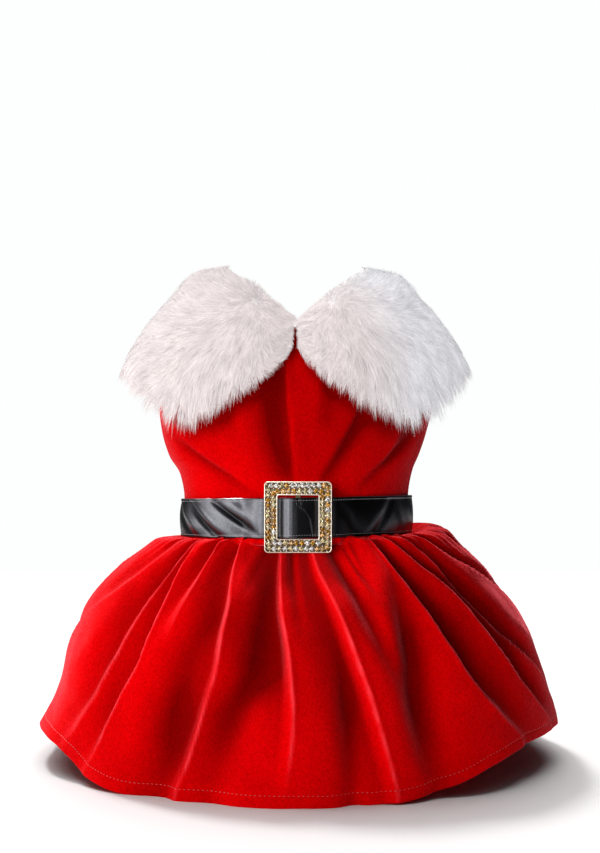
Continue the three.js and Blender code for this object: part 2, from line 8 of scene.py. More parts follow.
import bpy
import numpy as np
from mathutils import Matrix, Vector

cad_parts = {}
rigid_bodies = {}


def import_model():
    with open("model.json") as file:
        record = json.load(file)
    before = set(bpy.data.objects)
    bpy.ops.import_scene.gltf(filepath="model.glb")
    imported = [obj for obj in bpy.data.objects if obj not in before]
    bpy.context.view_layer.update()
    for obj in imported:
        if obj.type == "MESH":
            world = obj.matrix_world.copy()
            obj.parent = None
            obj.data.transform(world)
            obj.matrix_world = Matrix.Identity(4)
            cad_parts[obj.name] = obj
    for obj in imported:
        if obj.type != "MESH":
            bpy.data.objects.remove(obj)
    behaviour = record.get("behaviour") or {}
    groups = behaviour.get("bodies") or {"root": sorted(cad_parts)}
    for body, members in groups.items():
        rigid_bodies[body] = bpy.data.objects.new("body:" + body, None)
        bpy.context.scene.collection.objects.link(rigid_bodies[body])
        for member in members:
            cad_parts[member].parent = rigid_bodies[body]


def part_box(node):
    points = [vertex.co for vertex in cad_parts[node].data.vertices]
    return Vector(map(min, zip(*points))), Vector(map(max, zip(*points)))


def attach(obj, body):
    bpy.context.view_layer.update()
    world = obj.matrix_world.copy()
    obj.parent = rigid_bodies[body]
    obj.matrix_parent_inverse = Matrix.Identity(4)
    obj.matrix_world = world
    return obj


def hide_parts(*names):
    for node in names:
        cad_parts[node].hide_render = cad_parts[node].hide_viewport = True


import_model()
scene = bpy.context.scene
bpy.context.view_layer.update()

MM = 0.001


def table(columns, *rows):
    return {name: np.array(values, float) for name, values in zip(columns.split(), zip(*rows))}


# ---- Sizes that the solids share ----
VELVET = 1.5
HEM_FOLD = 1.0
HEM_DEPTH = 0.94
RIBBON = 1.1
BELT_WIDTH = 25.0
SEAM_GAP = 0.3
WAIST, WAIST_TILT, WAIST_ROLL = 154.5, 2.2, 1.2
NECK_LOW, NECK_HIGH = 275.5, 315.5
COLLAR_CENTRE = -3.0
COLLAR_NECK = {"half": 47.5, "front": 48.3, "rear": 44.9}
COLLAR_RISE = 2.4
BUCKLE = {"width": 41.8, "height": 44.0, "opening": 25.4, "opening_height": 27.0}
BUCKLE_PLACE = {"x": -1.2, "y": -65.4, "z": 157.2}
LEG_HOLE = {"height": 247.0, "half_height": 23.0, "half_depth": 25.0, "aside": 80.0, "long": 60.0}

# Behind the buckle the ribbon runs flat, and it humps over the bar, at places from the buckle's middle.
BEHIND = {"reach": 64.8, "flat": 22.0, "end": 36.0}
HUMP = {"reach": 67.9, "from": -11.0, "crest": -5.0, "past": -3.5, "to": 11.5}

SKIRT = table(
    "fall height left right front rear",
    (0.0, 1.0, 76.5, 71.6, 59.6, 56.6),
    (0.07, 0.898, 77.2, 72.2, 60.2, 57.2),
    (0.1, 0.916, 86, 86, 66, 64),
    (0.14, 0.908, 95, 98, 70, 70),
    (0.2, 0.866, 104, 107, 77, 79),
    (0.3, 0.765, 119.5, 120.5, 91, 92),
    (0.4, 0.66, 133, 131, 104, 103),
    (0.5, 0.55, 143, 143, 116, 113),
    (0.6, 0.424, 150, 153, 126, 122),
    (0.7, 0.3, 155.5, 158.5, 134, 130),
    (0.8, 0.19, 159.5, 163.5, 140, 136),
    (0.9, 0.087, 164, 167.5, 145, 141),
    (1.0, 0.0, 170, 169, 150, 145),
)
HEM_LIFT = table(
    "azimuth lift",
    (-180, 0), (-150, 0), (-115, 13), (-90, 21), (-72, 21), (-60, 15.5), (-48, 5), (-34, 0),
    (12, 0), (30, 5), (42, 15), (56, 21.5), (75, 22.5), (90, 21), (115, 13), (150, 0), (180, 0),
)
# Folds of the skirt, each a trough in the cloth. at_ and deep_ are its azimuth and its depth at the six
# FOLD_FALLS. Where side is 1 or -1, at_ is a crisp ridge and the trough lies on its right or left: near is
# how far its floor is from the ridge and far how wide it fades beyond. Where side is 0, at_ is the floor of
# a soft trough, near and far wide on its left and right.
FOLD_FALLS = (0.1, 0.25, 0.4, 0.55, 0.7, 0.95)
FOLDS = table(
    "at_1 at_2 at_3 at_4 at_5 at_6 deep_1 deep_2 deep_3 deep_4 deep_5 deep_6 side near far",
    (-53, -57, -64, -79, -92, -100, 3, 4, 3.5, 2, 2, 0, -1, 3, 7),
    (-47, -46, -47.5, -49.5, -53.5, -60, 4, 6, 6.5, 6, 5, 0.5, -1, 2.4, 7),
    (-42, -41, -40, -41, -45, -49.5, 4, 7, 8, 7, 6.5, 1, -1, 2.2, 6),
    (-33, -32.5, -33.5, -36, -40, -44, 4, 6, 3, 0, 0, 0, -1, 2.4, 4),
    (-29, -26, -25.5, -28.5, -30, -31, 0, 1, 4, 8, 10, 5, 0, 6, 5),
    (-26, -23, -19.5, -19.5, -22, -25.5, 4, 6, 7, 6, 6, 3, -1, 2.2, 5),
    (-14, -11, -9, -9.5, -15.5, -19, 2, 4, 5, 7, 10, 5, 0, 6, 5),
    (-9.5, -7, -5, -2.5, -1.5, -3, 5, 7, 9, 11, 6, 0, -1, 2.4, 9),
    (-5, -3, -0.5, 1, 2, 2, 4, 4, 2, 0, 0, 0, 0, 1.8, 1.8),
    (2.5, 5.5, 10, 13, 16, 19, 4, 7, 10, 11, 9, 3, -1, 2.4, 8),
    (10.5, 10.5, 10.5, 10.5, 10.5, 10.5, 0, 0, 0, 1, 5, 4, 0, 2.5, 2.5),
    (10.5, 13.5, 17.5, 21, 25, 28, 6, 8, 7.5, 4, 1, 0, 0, 2.4, 3),
    (16, 18.5, 24, 28, 28, 28, 2.5, 2.5, 0, 0, 0, 0, 0, 1.3, 1.3),
    (31, 30, 29, 28, 27, 29, 0, 1, 7, 12, 11, 5, 0, 4, 5),
    (27, 30, 34.5, 37.5, 42.5, 53, 4, 9, 10, 9, 7, 1.5, 1, 2.2, 7),
    (33, 39.5, 47.5, 51, 57, 70, 4, 7, 8, 9, 8, 0.5, 1, 2.2, 6),
    (41, 46.5, 52, 57.5, 70.5, 82, 3, 5, 7, 7, 6, 0, 1, 2.2, 6),
    (49, 58, 77, 88, 95, 103, 4, 6, 4.5, 4, 3, 0, 1, 3, 7),
    (66, 78, 91, 100, 106, 113, 4, 4.5, 4, 4, 4, 2, 1, 4, 7),
    (84, 96, 106, 111, 115, 119, 5, 6, 7, 7, 6, 4, 1, 3, 7),
    (112, 118, 124, 128, 130, 131, 5, 7, 9, 9, 8, 4, -1, 3, 6),
    (128, 133, 137, 139, 141, 143, 5, 7, 10, 11, 9, 5, 1, 2.6, 7),
    (147, 150, 152, 154, 155, 156, 5, 7, 9, 10, 8, 5, -1, 3, 6),
    (160, 162, 163, 164, 165, 166, 5, 6, 7, 7, 6, 4, 1, 2.4, 6),
    (176, 176, 176, 176, 177, 177, 5, 7, 9, 11, 10, 5, 0, 5, 6),
    (-162, -163, -164, -165, -166, -166, 5, 7, 8, 9, 8, 4, -1, 2.6, 7),
    (-148, -150, -152, -154, -155, -155, 5, 7, 9, 10, 9, 5, 1, 3, 7),
    (-130, -134, -137, -139, -140, -141, 5, 7, 9, 9, 7, 4, -1, 2.4, 6),
    (-112, -118, -122, -125, -127, -128, 5, 7, 9, 10, 9, 5, -1, 3, 7),
    (-94, -101, -107, -111, -114, -116, 5, 6, 7, 7, 6, 3, -1, 3, 7),
    (-76, -86, -96, -101, -104, -107, 4, 5, 5, 5, 4, 1, -1, 4, 6),
)
PRESSED = {"azimuth": -1, "wide": 25, "deep": 13.5, "from": 0.07, "middle": 0.17, "to": 0.4}

# The cloth puffs up over the belt's lower edge behind its +X end.
PUFF = {"azimuth": 108, "wide": 38, "rise": 6.5, "from": 0.07, "peak": 0.105, "to": 0.24}

# Stitches: how far apart they are, how long and thick, and how far their middles stand above the cloth.
HEM_STITCH = {"fall": 0.953, "pitch": 2.7, "long": 0.75, "radius": 0.24, "rise": 0.12, "groove": 0.35}
BELT_STITCH = {"falls": (0.07, 0.93), "pitch": 1.7, "long": 0.55, "radius": 0.2, "rise": 0.08}

BODICE = table(
    "fall height left right front rear",
    (0.0, 1.0, 50.5, 44.5, 47, 44),
    (0.08, 0.93, 59.5, 54.5, 50, 47),
    (0.16, 0.85, 69.5, 66, 54, 51),
    (0.26, 0.75, 80, 78, 59, 56),
    (0.36, 0.65, 89, 86, 63, 60),
    (0.46, 0.55, 93.5, 89, 65.5, 62.5),
    (0.56, 0.45, 94, 88, 66.5, 63),
    (0.66, 0.35, 92, 84.5, 66, 62),
    (0.76, 0.25, 87, 79.5, 64, 60),
    (0.83, 0.18, 80, 75, 61.5, 58),
    (0.9, 0.1, 77.3, 72.6, 60.2, 57.2),
    (1.0, 0.0, 76.5, 71.6, 59.6, 56.6),
)
# Creases of the bodice, with the same kinds of side, near and far.
CREASES = table(
    "start_azimuth start end_azimuth end deep side near far",
    (-7, 0.06, -1, 0.88, 3.2, -1, 2.6, 8),
    (11, 0.12, 6, 0.6, 1.2, 1, 4, 6),
    (30, 0.4, 5, 0.9, 2.5, 1, 3, 7),
    (62, 0.62, 24, 0.9, 2.2, 1, 3.4, 7),
    (70, 0.3, 40, 0.82, 1.9, 1, 4.5, 9),
    (-58, 0.66, -18, 0.9, 2.0, -1, 3.4, 8),
    (-34, 0.2, -20, 0.68, 1.0, -1, 6, 9),
    (150, 0.2, 165, 0.95, 2.2, 1, 3, 9),
    (-150, 0.3, -168, 0.9, 2.2, -1, 3, 9),
)
COLLAR = table(
    "azimuth edge_out edge_up elbow_out elbow_up",
    (3, 58, 262, 55, 276),
    (13, 69, 245, 64, 278),
    (25, 76, 233, 73, 281),
    (38, 82, 221, 81, 284),
    (52, 89, 213.5, 88, 288),
    (66, 97.5, 220, 92, 294),
    (78, 107, 235, 92, 299),
    (90, 114, 249, 90, 301),
    (102, 106, 236, 91, 298),
    (114, 97, 223, 91, 292),
    (128, 87, 221, 86, 286),
    (142, 79, 230, 78, 281),
    (155, 73, 241, 70, 279),
    (167, 66, 250, 62, 277),
    (177, 58, 260, 55, 275),
)

# The frame's origin is under the middle of the whole garment, so every piece is moved there with the buckle's
# solid.
low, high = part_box("buckle")
SHIFT = np.array([(low[0] + high[0]) / 2 - BUCKLE_PLACE["x"] * MM, high[1] - BUCKLE_PLACE["y"] * MM, 0.0])


# ---- Working out the forms ----

def mix(a, b, share):
    return a + (b - a) * share


def smooth(share):
    s = np.clip(share, 0.0, 1.0)
    return s * s * (3 - 2 * s)


def ease(x, start, end):
    """From 0 at start to 1 at end, which may be the smaller of the two."""
    return smooth((x - start) / (end - start))


def bell(x):
    return np.exp(-(x * x))


def direction(v):
    return v / (np.linalg.norm(v, axis=-1, keepdims=True) + 1e-9)


def sin_cos(azimuth):
    return np.sin(np.radians(azimuth)), np.cos(np.radians(azimuth))


def together(*columns):
    """Columns side by side, as points or as faces."""
    return np.stack(np.broadcast_arrays(*columns), -1)


def turn(start, end):
    """The angle from one azimuth to another, from -180 to 180."""
    return (end - start + 180.0) % 360.0 - 180.0


def read(rows, column, at):
    """A column of a table, placed by its first column, on a smooth curve that doesn't overshoot."""
    x, y = next(iter(rows.values())), rows[column]
    at = np.clip(at, x[0], x[-1])
    k = np.clip(np.searchsorted(x, at, side="right") - 1, 0, len(x) - 2)
    slope = np.diff(y) / np.diff(x)
    before, after = slope[:-1], slope[1:]
    with np.errstate(divide="ignore", invalid="ignore"):
        inner = np.where(before * after > 0, 2 * before * after / (before + after), 0.0)
    tangent = np.concatenate([slope[:1], inner, slope[-1:]])
    span = x[k + 1] - x[k]
    s = (at - x[k]) / span
    curve = mix(y[k], y[k + 1], s * s * (3 - 2 * s))
    return curve + span * s * (1 - s) * ((1 - s) * tangent[k] - s * tangent[k + 1])


def noise(u, v, cells, seed):
    """Smooth noise from -1 to 1. u runs from 0 to 1 round the garment and joins up, v from 0 to 1 down it."""
    columns, rows = cells
    values = np.random.default_rng(seed).uniform(-1, 1, (columns, rows + 2))
    x, y = (u % 1.0) * columns, np.clip(v, 0, 1) * rows
    i, j = np.floor(x).astype(int), np.floor(y).astype(int)
    a, b = smooth(x - i), smooth(y - j)
    top = mix(values[i % columns, j], values[(i + 1) % columns, j], a)
    bottom = mix(values[i % columns, j + 1], values[(i + 1) % columns, j + 1], a)
    return mix(top, bottom, b)


def ring_point(rows, fall, azimuth, inwards):
    s, c = sin_cos(azimuth)
    half = np.where(s > 0, read(rows, "right", fall), read(rows, "left", fall)) - inwards
    depth = np.where(c > 0, read(rows, "front", fall), read(rows, "rear", fall)) - inwards
    return half * s, -depth * c


def seam_height(azimuth):
    s, c = sin_cos(azimuth)
    return WAIST + WAIST_TILT * c + WAIST_ROLL * s


def neck_height(x):
    return mix(NECK_LOW, NECK_HIGH, np.minimum(1.0, np.abs(x) / COLLAR_NECK["half"]) ** 0.85)


def along(fall, values):
    """Values given at the six FOLD_FALLS, on a smooth curve down the skirt."""
    return read({"fall": np.array(FOLD_FALLS), "value": np.array(values)}, "value", fall)


def fold_profile(off, side, near, far):
    """How much of its depth a fold takes at a place that is off degrees past its line."""
    if side == 0:
        return bell(off / np.where(off < 0, near, far))
    past = off * side
    shape = np.where(past < near, np.clip(past / near, 0, 1) ** 0.8, bell((past - near) / far))
    return shape - 0.08 * bell((past + 0.4) / 0.8)


def folds_at(azimuth, fall):
    """For every fold, the degrees past its line, its depth there, and its side, near and far."""
    narrow = mix(0.62, 1.0, smooth(fall * 2))
    for row in zip(*FOLDS.values()):
        yield turn(along(fall, row[:6]), azimuth) / narrow, along(fall, row[6:12]), *row[12:]


def skirt_ridges(azimuth, fall):
    """The painted highlight along the crisp ridges, the velvet's sheen where the cloth turns, from 0 to 1."""
    line = np.zeros_like(azimuth)
    for off, deep, side, *_ in folds_at(azimuth, fall):
        if side:
            line = np.maximum(line, smooth(deep / 6) * bell((off * side + 0.1) / 0.3))
    return 0.6 * line * (0.7 + 0.5 * noise(azimuth / 360, fall, (90, 30), 6))


def pressed_in(azimuth, down):
    """How far the cloth behind the buckle is pressed in, where down is the share of it at each fall."""
    return PRESSED["deep"] * down * np.exp(-((turn(PRESSED["azimuth"], azimuth) / PRESSED["wide"]) ** 4))


def skirt_troughs(azimuth, fall):
    taken = np.zeros_like(azimuth)
    for off, deep, *kind in folds_at(azimuth, fall):
        taken += deep * fold_profile(off, *kind)
    down = ease(fall, np.where(fall < PRESSED["middle"], PRESSED["from"], PRESSED["to"]), PRESSED["middle"])
    return ease(fall, 0.07, 0.15) * taken + pressed_in(azimuth, down)


# The gathers under the belt are drawn from these ranges: how far apart in degrees, how deep, how wide, how
# long and how far each leans, besides the lean of all those at the sides.
GATHERS = {
    "apart": (3.4, 6.8), "deep": (1.2, 3.0), "wide": (0.9, 1.7), "long": (0.12, 0.42), "lean": (-8, 8),
    "sides": 30, "seed": 11,
}


def skirt_gathers(azimuth, fall):
    rng = np.random.default_rng(GATHERS["seed"])
    taken = np.zeros_like(azimuth)
    at = -180.0
    while at < 176:
        deep, wide, length, lean = (rng.uniform(*GATHERS[key]) for key in ("deep", "wide", "long", "lean"))
        lean += GATHERS["sides"] * math.sin(math.radians(at))
        off = turn(at + lean * (fall - 0.1), azimuth) / (wide * (1 + 2.0 * fall))
        taken += deep * ease(fall, 0.12 + length, 0.12) * np.exp(-np.abs(off) ** 1.6)
        at += rng.uniform(*GATHERS["apart"])
    return taken * ease(fall, 0.06, 0.12)


def seam_pinch(azimuth):
    return 0.7 * (bell(turn(90, azimuth) / 0.9) + bell(turn(-90, azimuth) / 0.9))


def skirt_puff(azimuth, fall):
    high = ease(fall, np.where(fall < PUFF["peak"], PUFF["from"], PUFF["to"]), PUFF["peak"])
    return PUFF["rise"] * high * bell(turn(PUFF["azimuth"], azimuth) / PUFF["wide"])


def skirt_shade(azimuth, fall):
    """Painted shade in the pile's colour, from 0 on the ridges to 1 in the deepest folds and gathers, also
    painted darker on the right, away from the light, and lighter at the front middle.
    """
    down = smooth((fall - PRESSED["from"]) * 10) * ease(fall, PRESSED["to"], PRESSED["middle"])
    folds = skirt_troughs(azimuth, fall) - pressed_in(azimuth, down) + 1.3 * skirt_gathers(azimuth, fall)
    turned = turn(0, azimuth)
    right = ease(turned, 24, 60) * ease(turned, 172, 112)
    return np.clip(folds / 11 + 0.38 * right - 0.22 * bell(turned / 30), 0, 1)


def skirt_surface(azimuth, fall):
    begun = ease(fall, 0.08, 0.18)
    taken = skirt_troughs(azimuth, fall) + skirt_gathers(azimuth, fall) + seam_pinch(azimuth) * begun
    uneven = 1.3 * noise(azimuth / 360, fall, (26, 5), 3) + 0.5 * noise(azimuth / 360, fall, (70, 14), 4)
    stitched = HEM_STITCH["groove"] * bell((fall - HEM_STITCH["fall"]) / 0.006)
    x, y = ring_point(SKIRT, fall, azimuth, taken + begun * uneven + stitched)
    height = read(SKIRT, "height", fall)
    lift = read(HEM_LIFT, "lift", turn(0, azimuth)) * smooth((1 - height) * 4)
    z = mix(lift, seam_height(azimuth) - SEAM_GAP / 2, height) + skirt_puff(azimuth, fall)
    return together(x, y, z)


def bodice_creases(azimuth, fall):
    taken = np.zeros_like(azimuth)
    for start_azimuth, start, end_azimuth, end, deep, side, near, far in zip(*CREASES.values()):
        share = np.clip((fall - start) / (end - start), 0, 1)
        off = turn(mix(start_azimuth, end_azimuth, share), azimuth)
        taken += deep * np.sin(np.pi * share) ** 0.7 * fold_profile(off, side, near, far)
    return taken


def bodice_shade(azimuth, fall):
    """The same painted shade for the bodice, which is also painted darker close under the collar, where its
    shadow falls.
    """
    point = bodice_surface(azimuth, fall)
    round_lobe = np.degrees(np.arctan2(np.abs(point[..., 0] - COLLAR_CENTRE), -point[..., 1]))
    under = smooth((point[..., 2] - read(COLLAR, "edge_up", round_lobe) + 14) / 16)
    creases = bodice_creases(azimuth, fall) / 3.6 + 0.2 * noise(azimuth / 360, fall, (14, 5), 9)
    return np.clip(0.36 + creases + 0.5 * under, 0, 1)


def bodice_surface(azimuth, fall):
    taken = seam_pinch(azimuth) * smooth(fall * 8) + bodice_creases(azimuth, fall)
    taken += smooth(fall * 5) * smooth((1.02 - fall) * 8) * 0.7 * noise(azimuth / 360, fall, (18, 6), 8)
    x, y = ring_point(BODICE, fall, azimuth, taken)
    edge = ring_point(BODICE, np.zeros_like(fall), azimuth, 0)[0] - COLLAR_CENTRE
    z = mix(seam_height(azimuth) + SEAM_GAP / 2, neck_height(edge), read(BODICE, "height", fall))
    return together(x, y, z)


# Soft wrinkles across the ribbon: where each crosses its middle, how far it leans over the whole width, how
# much it takes in or, below zero, stands out, and how wide it is, in degrees.
WRINKLES = table(
    "azimuth lean deep wide",
    (-74, 30, 1.6, 4), (-64, 24, -1.6, 4), (-54, 26, 3.0, 2.4), (-46, 24, -1.6, 4), (-31, 30, 2.8, 2.6),
    (-23, 26, -1.4, 4), (24, 14, 1.0, 3), (39, -10, -1.2, 4), (46, -14, 1.2, 3), (60, 10, 1.0, 4),
    (75, 14, -1.0, 5), (110, 14, 1.0, 5), (140, -12, -0.9, 6), (165, 14, 1.1, 5), (-165, -10, -1.0, 6),
    (-140, 14, 1.2, 5), (-112, 16, -1.0, 5),
)

# The ribbon's crease over the buckle's bar: how far aside of the buckle's middle it runs, down the ribbon.
BAR_CREASE = table(
    "share aside", (0.08, 1.2), (0.14, -0.8), (0.22, 1.0), (0.34, 5.0), (0.5, 7.3), (0.75, 8.6), (0.96, 9.4),
)


def wrinkled(azimuth, share, least):
    """What the wrinkles take in, where none takes in less than least."""
    taken = np.zeros_like(azimuth)
    for middle, lean, deep, wide in zip(*WRINKLES.values()):
        taken += max(deep, least) * bell(turn(middle + lean * (share - 0.5), azimuth) / wide)
    return taken * np.sin(np.pi * np.clip(share, 0.02, 0.98)) ** 0.5


def belt_surface(azimuth, share):
    bow = 1.1 * np.sin(np.pi * share)
    lip = 0.45 * (bell((share - 0.03) / 0.025) + bell((share - 0.97) / 0.025))
    stands = SEAM_GAP + RIBBON + bow + 0.5 + lip - 0.75 * wrinkled(azimuth, share, -np.inf)
    x, y = ring_point(BODICE, np.full_like(azimuth, 0.92), azimuth, -stands)
    across = x - BUCKLE_PLACE["x"]
    front, aside = y < 0, np.abs(across)
    behind = ease(aside, BEHIND["end"], BEHIND["flat"])
    left = np.clip((across - HUMP["from"]) / (HUMP["crest"] - HUMP["from"]), 0, 1)
    right = np.clip((HUMP["to"] - across) / (HUMP["to"] - HUMP["past"]), 0, 1)
    hump = np.where(across < HUMP["past"], np.sin(np.pi / 2 * left), right ** 0.7)
    y = np.where(front, mix(mix(y, -BEHIND["reach"], behind), -HUMP["reach"], hump), y)
    pinch = 0.45 * bell((across - 0.3) / 1.5) * smooth((0.3 - share) * 5)
    crease = 0.4 * bell((across - read(BAR_CREASE, "aside", share)) / 0.35)
    y = np.where(front & (aside < -HUMP["from"]), y + pinch - crease, y)
    return together(x, y, seam_height(azimuth) + BELT_WIDTH * (0.5 - share))


def belt_painted_shade(azimuth, share):
    """Painted shade on the satin: darker in its wrinkles, at its left end, along its lower left edge, and
    right of the bar, where it faces away from the light.
    """
    turned = turn(0, azimuth)
    ends = ease(turned, -63, -71) + 0.75 * smooth((share - 0.66) * 6) * ease(turned, -42, -54)
    taken = 0.35 * wrinkled(azimuth, share, 0) + 0.8 * ends * ease(turned, -125, -85)
    taken += 0.85 * ease(turned, -2.5, -0.5) * ease(turned, 58, 28)
    return np.clip(taken, 0, 0.92)


def collar_profile(azimuth, share):
    """Out and up of the collar's middle surface. Past its edge it goes on straight and droops."""
    s, c = sin_cos(azimuth)
    depth = np.where(c > 0, COLLAR_NECK["front"], COLLAR_NECK["rear"])
    start = np.hypot(COLLAR_NECK["half"] * s, depth * c), neck_height(COLLAR_NECK["half"] * s) + COLLAR_RISE
    elbow = [read(COLLAR, "elbow_" + axis, azimuth) for axis in ("out", "up")]
    edge = [read(COLLAR, "edge_" + axis, azimuth) for axis in ("out", "up")]
    inside, past = np.minimum(share, 1.0), np.maximum(share - 1.0, 0.0)
    out, up = (
        (1 - inside) ** 2 * a + 2 * inside * (1 - inside) * b + inside ** 2 * e + 2 * past * (e - b)
        for a, b, e in zip(start, elbow, edge)
    )
    return out, up - 60 * past ** 2


def collar_surface(azimuth, share):
    (out, up), (s, c) = collar_profile(azimuth, share), sin_cos(azimuth)
    return together(out * s, -out * c, up)


# ---- Meshes ----

def normals_of(surface, azimuth, fall):
    """The outward direction of a surface at many places."""
    across = surface(azimuth + 0.3, fall) - surface(azimuth - 0.3, fall)
    down = surface(azimuth, np.minimum(1, fall + 0.006)) - surface(azimuth, np.maximum(0, fall - 0.006))
    return direction(np.cross(down, across))


def link_new(name, data):
    made = bpy.data.objects.new(name, data)
    scene.collection.objects.link(made)
    return made


def point_values(piece, key, values):
    piece.data.attributes.new(key, "FLOAT", "POINT").data.foreach_set("value", values)


def make_object(name, points, faces, material):
    """A smooth-shaded object from points in millimetres and lists of faces with equal numbers of corners."""
    mesh = bpy.data.meshes.new(name)
    points = np.asarray(points, float).reshape(-1, 3) * MM + SHIFT
    faces = [np.asarray(f, int) for f in faces if len(f)]
    corners = np.concatenate([f.ravel() for f in faces])
    sizes = np.concatenate([np.full(len(f), f.shape[1]) for f in faces])
    mesh.vertices.add(len(points))
    mesh.vertices.foreach_set("co", points.ravel())
    mesh.loops.add(len(corners))
    mesh.loops.foreach_set("vertex_index", corners)
    mesh.polygons.add(len(sizes))
    mesh.polygons.foreach_set("loop_start", np.concatenate([[0], np.cumsum(sizes)[:-1]]))
    mesh.polygons.foreach_set("use_smooth", np.ones(len(sizes), bool))
    mesh.update(calc_edges=True)
    mesh.validate()
    piece = link_new(name, mesh)
    mesh.materials.append(material)
    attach(piece, "root")
    return piece


def wall_faces(columns, rows, ring):
    """Faces of a closed wall: the outer grid's points come first, column by column, then the inner grid's."""
    at = lambda side, i, j: side * columns * rows + (i % columns) * rows + j
    k, down = np.arange(columns if ring else columns - 1), np.arange(rows - 1)
    i, j = (g.ravel() for g in np.meshgrid(k, down, indexing="ij"))
    last, end = rows - 1, columns - 1
    faces = [
        together(at(0, i, j), at(0, i, j + 1), at(0, i + 1, j + 1), at(0, i + 1, j)),
        together(at(1, i, j), at(1, i + 1, j), at(1, i + 1, j + 1), at(1, i, j + 1)),
        together(at(0, k, 0), at(0, k + 1, 0), at(1, k + 1, 0), at(1, k, 0)),
        together(at(0, k, last), at(1, k, last), at(1, k + 1, last), at(0, k + 1, last)),
    ]
    if not ring:
        j = down
        faces.append(together(at(0, 0, j), at(1, 0, j), at(1, 0, j + 1), at(0, 0, j + 1)))
        faces.append(together(at(0, end, j), at(0, end, j + 1), at(1, end, j + 1), at(1, end, j)))
    return np.concatenate(faces)


def panel_azimuths(rows, start, columns, falls):
    """A grid of azimuths half way round, whose side edges all but meet the other half's at the side seams."""
    half = np.minimum(read(rows, "left", falls), read(rows, "right", falls))
    inset = np.degrees(0.03 / half)
    share = np.linspace(0, 1, columns)[:, None]
    return mix(start + inset, start + 180 - inset, share)


def velvet_panel(name, rows, surface, start, columns, falls, thickness):
    """A panel from side seam to side seam, with its painted shade and the painted highlight along its ridges.
    """
    on_skirt = surface is skirt_surface
    azimuth = panel_azimuths(rows, start, columns, falls)
    fall = np.broadcast_to(falls, azimuth.shape)
    outer = surface(azimuth, fall)
    inner = outer - normals_of(surface, azimuth, fall) * thickness[None, :, None]
    for level in (0, -1) if on_skirt else (-1,):
        inner[:, level, 2] = outer[:, level, 2]
    faces = wall_faces(columns, len(falls), False)
    piece = make_object("velvet_" + name, [outer, inner], [faces], VELVET_RED)
    shade = skirt_shade(azimuth, fall) if on_skirt else bodice_shade(azimuth, fall)
    ridge_sheen = skirt_ridges(azimuth, fall) if on_skirt else np.zeros_like(azimuth)
    for key, values in (("shade", shade), ("ridge_sheen", ridge_sheen)):
        point_values(piece, key, np.tile(values.ravel(), 2))
    return piece


def set_flat(piece, first=0):
    """Flat shading for a piece's faces from the first one given."""
    for polygon in piece.data.polygons[first:]:
        polygon.use_smooth = False


def beads(name, centres, radius, material, axis=None, stretch=None):
    """Small round or long beads joined in one mesh. axis turns each one's length, stretched by stretch."""
    sides, rings = 6, 3
    count = len(centres)
    polar = np.linspace(0, np.pi, rings + 2)[1:-1]
    around = np.arange(sides) * 2 * np.pi / sides
    circle = together(np.cos(around), np.sin(around))
    unit = [np.concatenate([np.sin(p) * circle, np.full((sides, 1), np.cos(p))], 1) for p in polar]
    unit = np.concatenate([[[0, 0, 1.0]], *unit, [[0, 0, -1.0]]])
    if axis is None:
        local = np.broadcast_to(unit * radius, (count, len(unit), 3))
    else:
        axis = direction(axis)
        side = direction(np.cross(axis, [0.3, 0.5, 0.8]))
        other = np.cross(axis, side)
        local = radius * (
            unit[None, :, :1] * side[:, None] + unit[None, :, 1:2] * other[:, None]
            + stretch * unit[None, :, 2:] * axis[:, None]
        )
    k = np.arange(sides)
    ring = lambda r, q: 1 + r * sides + q % sides
    tris = [
        together(0, ring(0, k), ring(0, k + 1)),
        together(len(unit) - 1, ring(rings - 1, k + 1), ring(rings - 1, k)),
    ]
    bands = range(rings - 1)
    quads = [together(ring(r, k), ring(r + 1, k), ring(r + 1, k + 1), ring(r, k + 1)) for r in bands]
    first = (np.arange(count) * len(unit))[:, None, None]
    faces = [(np.concatenate(f)[None] + first).reshape(-1, f[0].shape[1]) for f in (tris, quads)]
    return make_object(name, centres[:, None] + local, faces, material)


def run_along(line):
    """The length along a line up to each of its points."""
    return np.concatenate([[0], np.cumsum(np.linalg.norm(np.diff(line, axis=0), axis=1))])


def stitch_rows(name, surface, levels, stitch, material):
    """Stitches all round a surface, a row at each level."""
    round_it = np.linspace(-180, 180, 4001)
    centres, ways = [], []
    for level in levels:
        run = run_along(surface(round_it, np.full_like(round_it, level)))
        at = np.interp(np.arange(0, run[-1], stitch["pitch"]), run, round_it)
        there = np.full_like(at, level)
        centres.append(surface(at, there) + stitch["rise"] * normals_of(surface, at, there))
        ways.append(surface(at + 0.2, there) - surface(at - 0.2, there))
    centres, ways = np.concatenate(centres), np.concatenate(ways)
    beads(name, centres, stitch["radius"], material, ways, stitch["long"] / stitch["radius"])


# ---- Materials ----

def material(name, base, roughness, **inputs):
    made = bpy.data.materials.new(name)
    made.use_nodes = True
    shader = made.node_tree.nodes["Principled BSDF"]
    shader.inputs["Base Color"].default_value = (*base, 1)
    shader.inputs["Roughness"].default_value = roughness
    for key, value in inputs.items():
        shader.inputs[key.replace("_", " ")].default_value = value
    return made, made.node_tree, shader


def node(tree, kind, **settings):
    made = tree.nodes.new(kind)
    for key, value in settings.items():
        if key in made.inputs:
            made.inputs[key].default_value = value
        else:
            setattr(made, key, value)
    return made


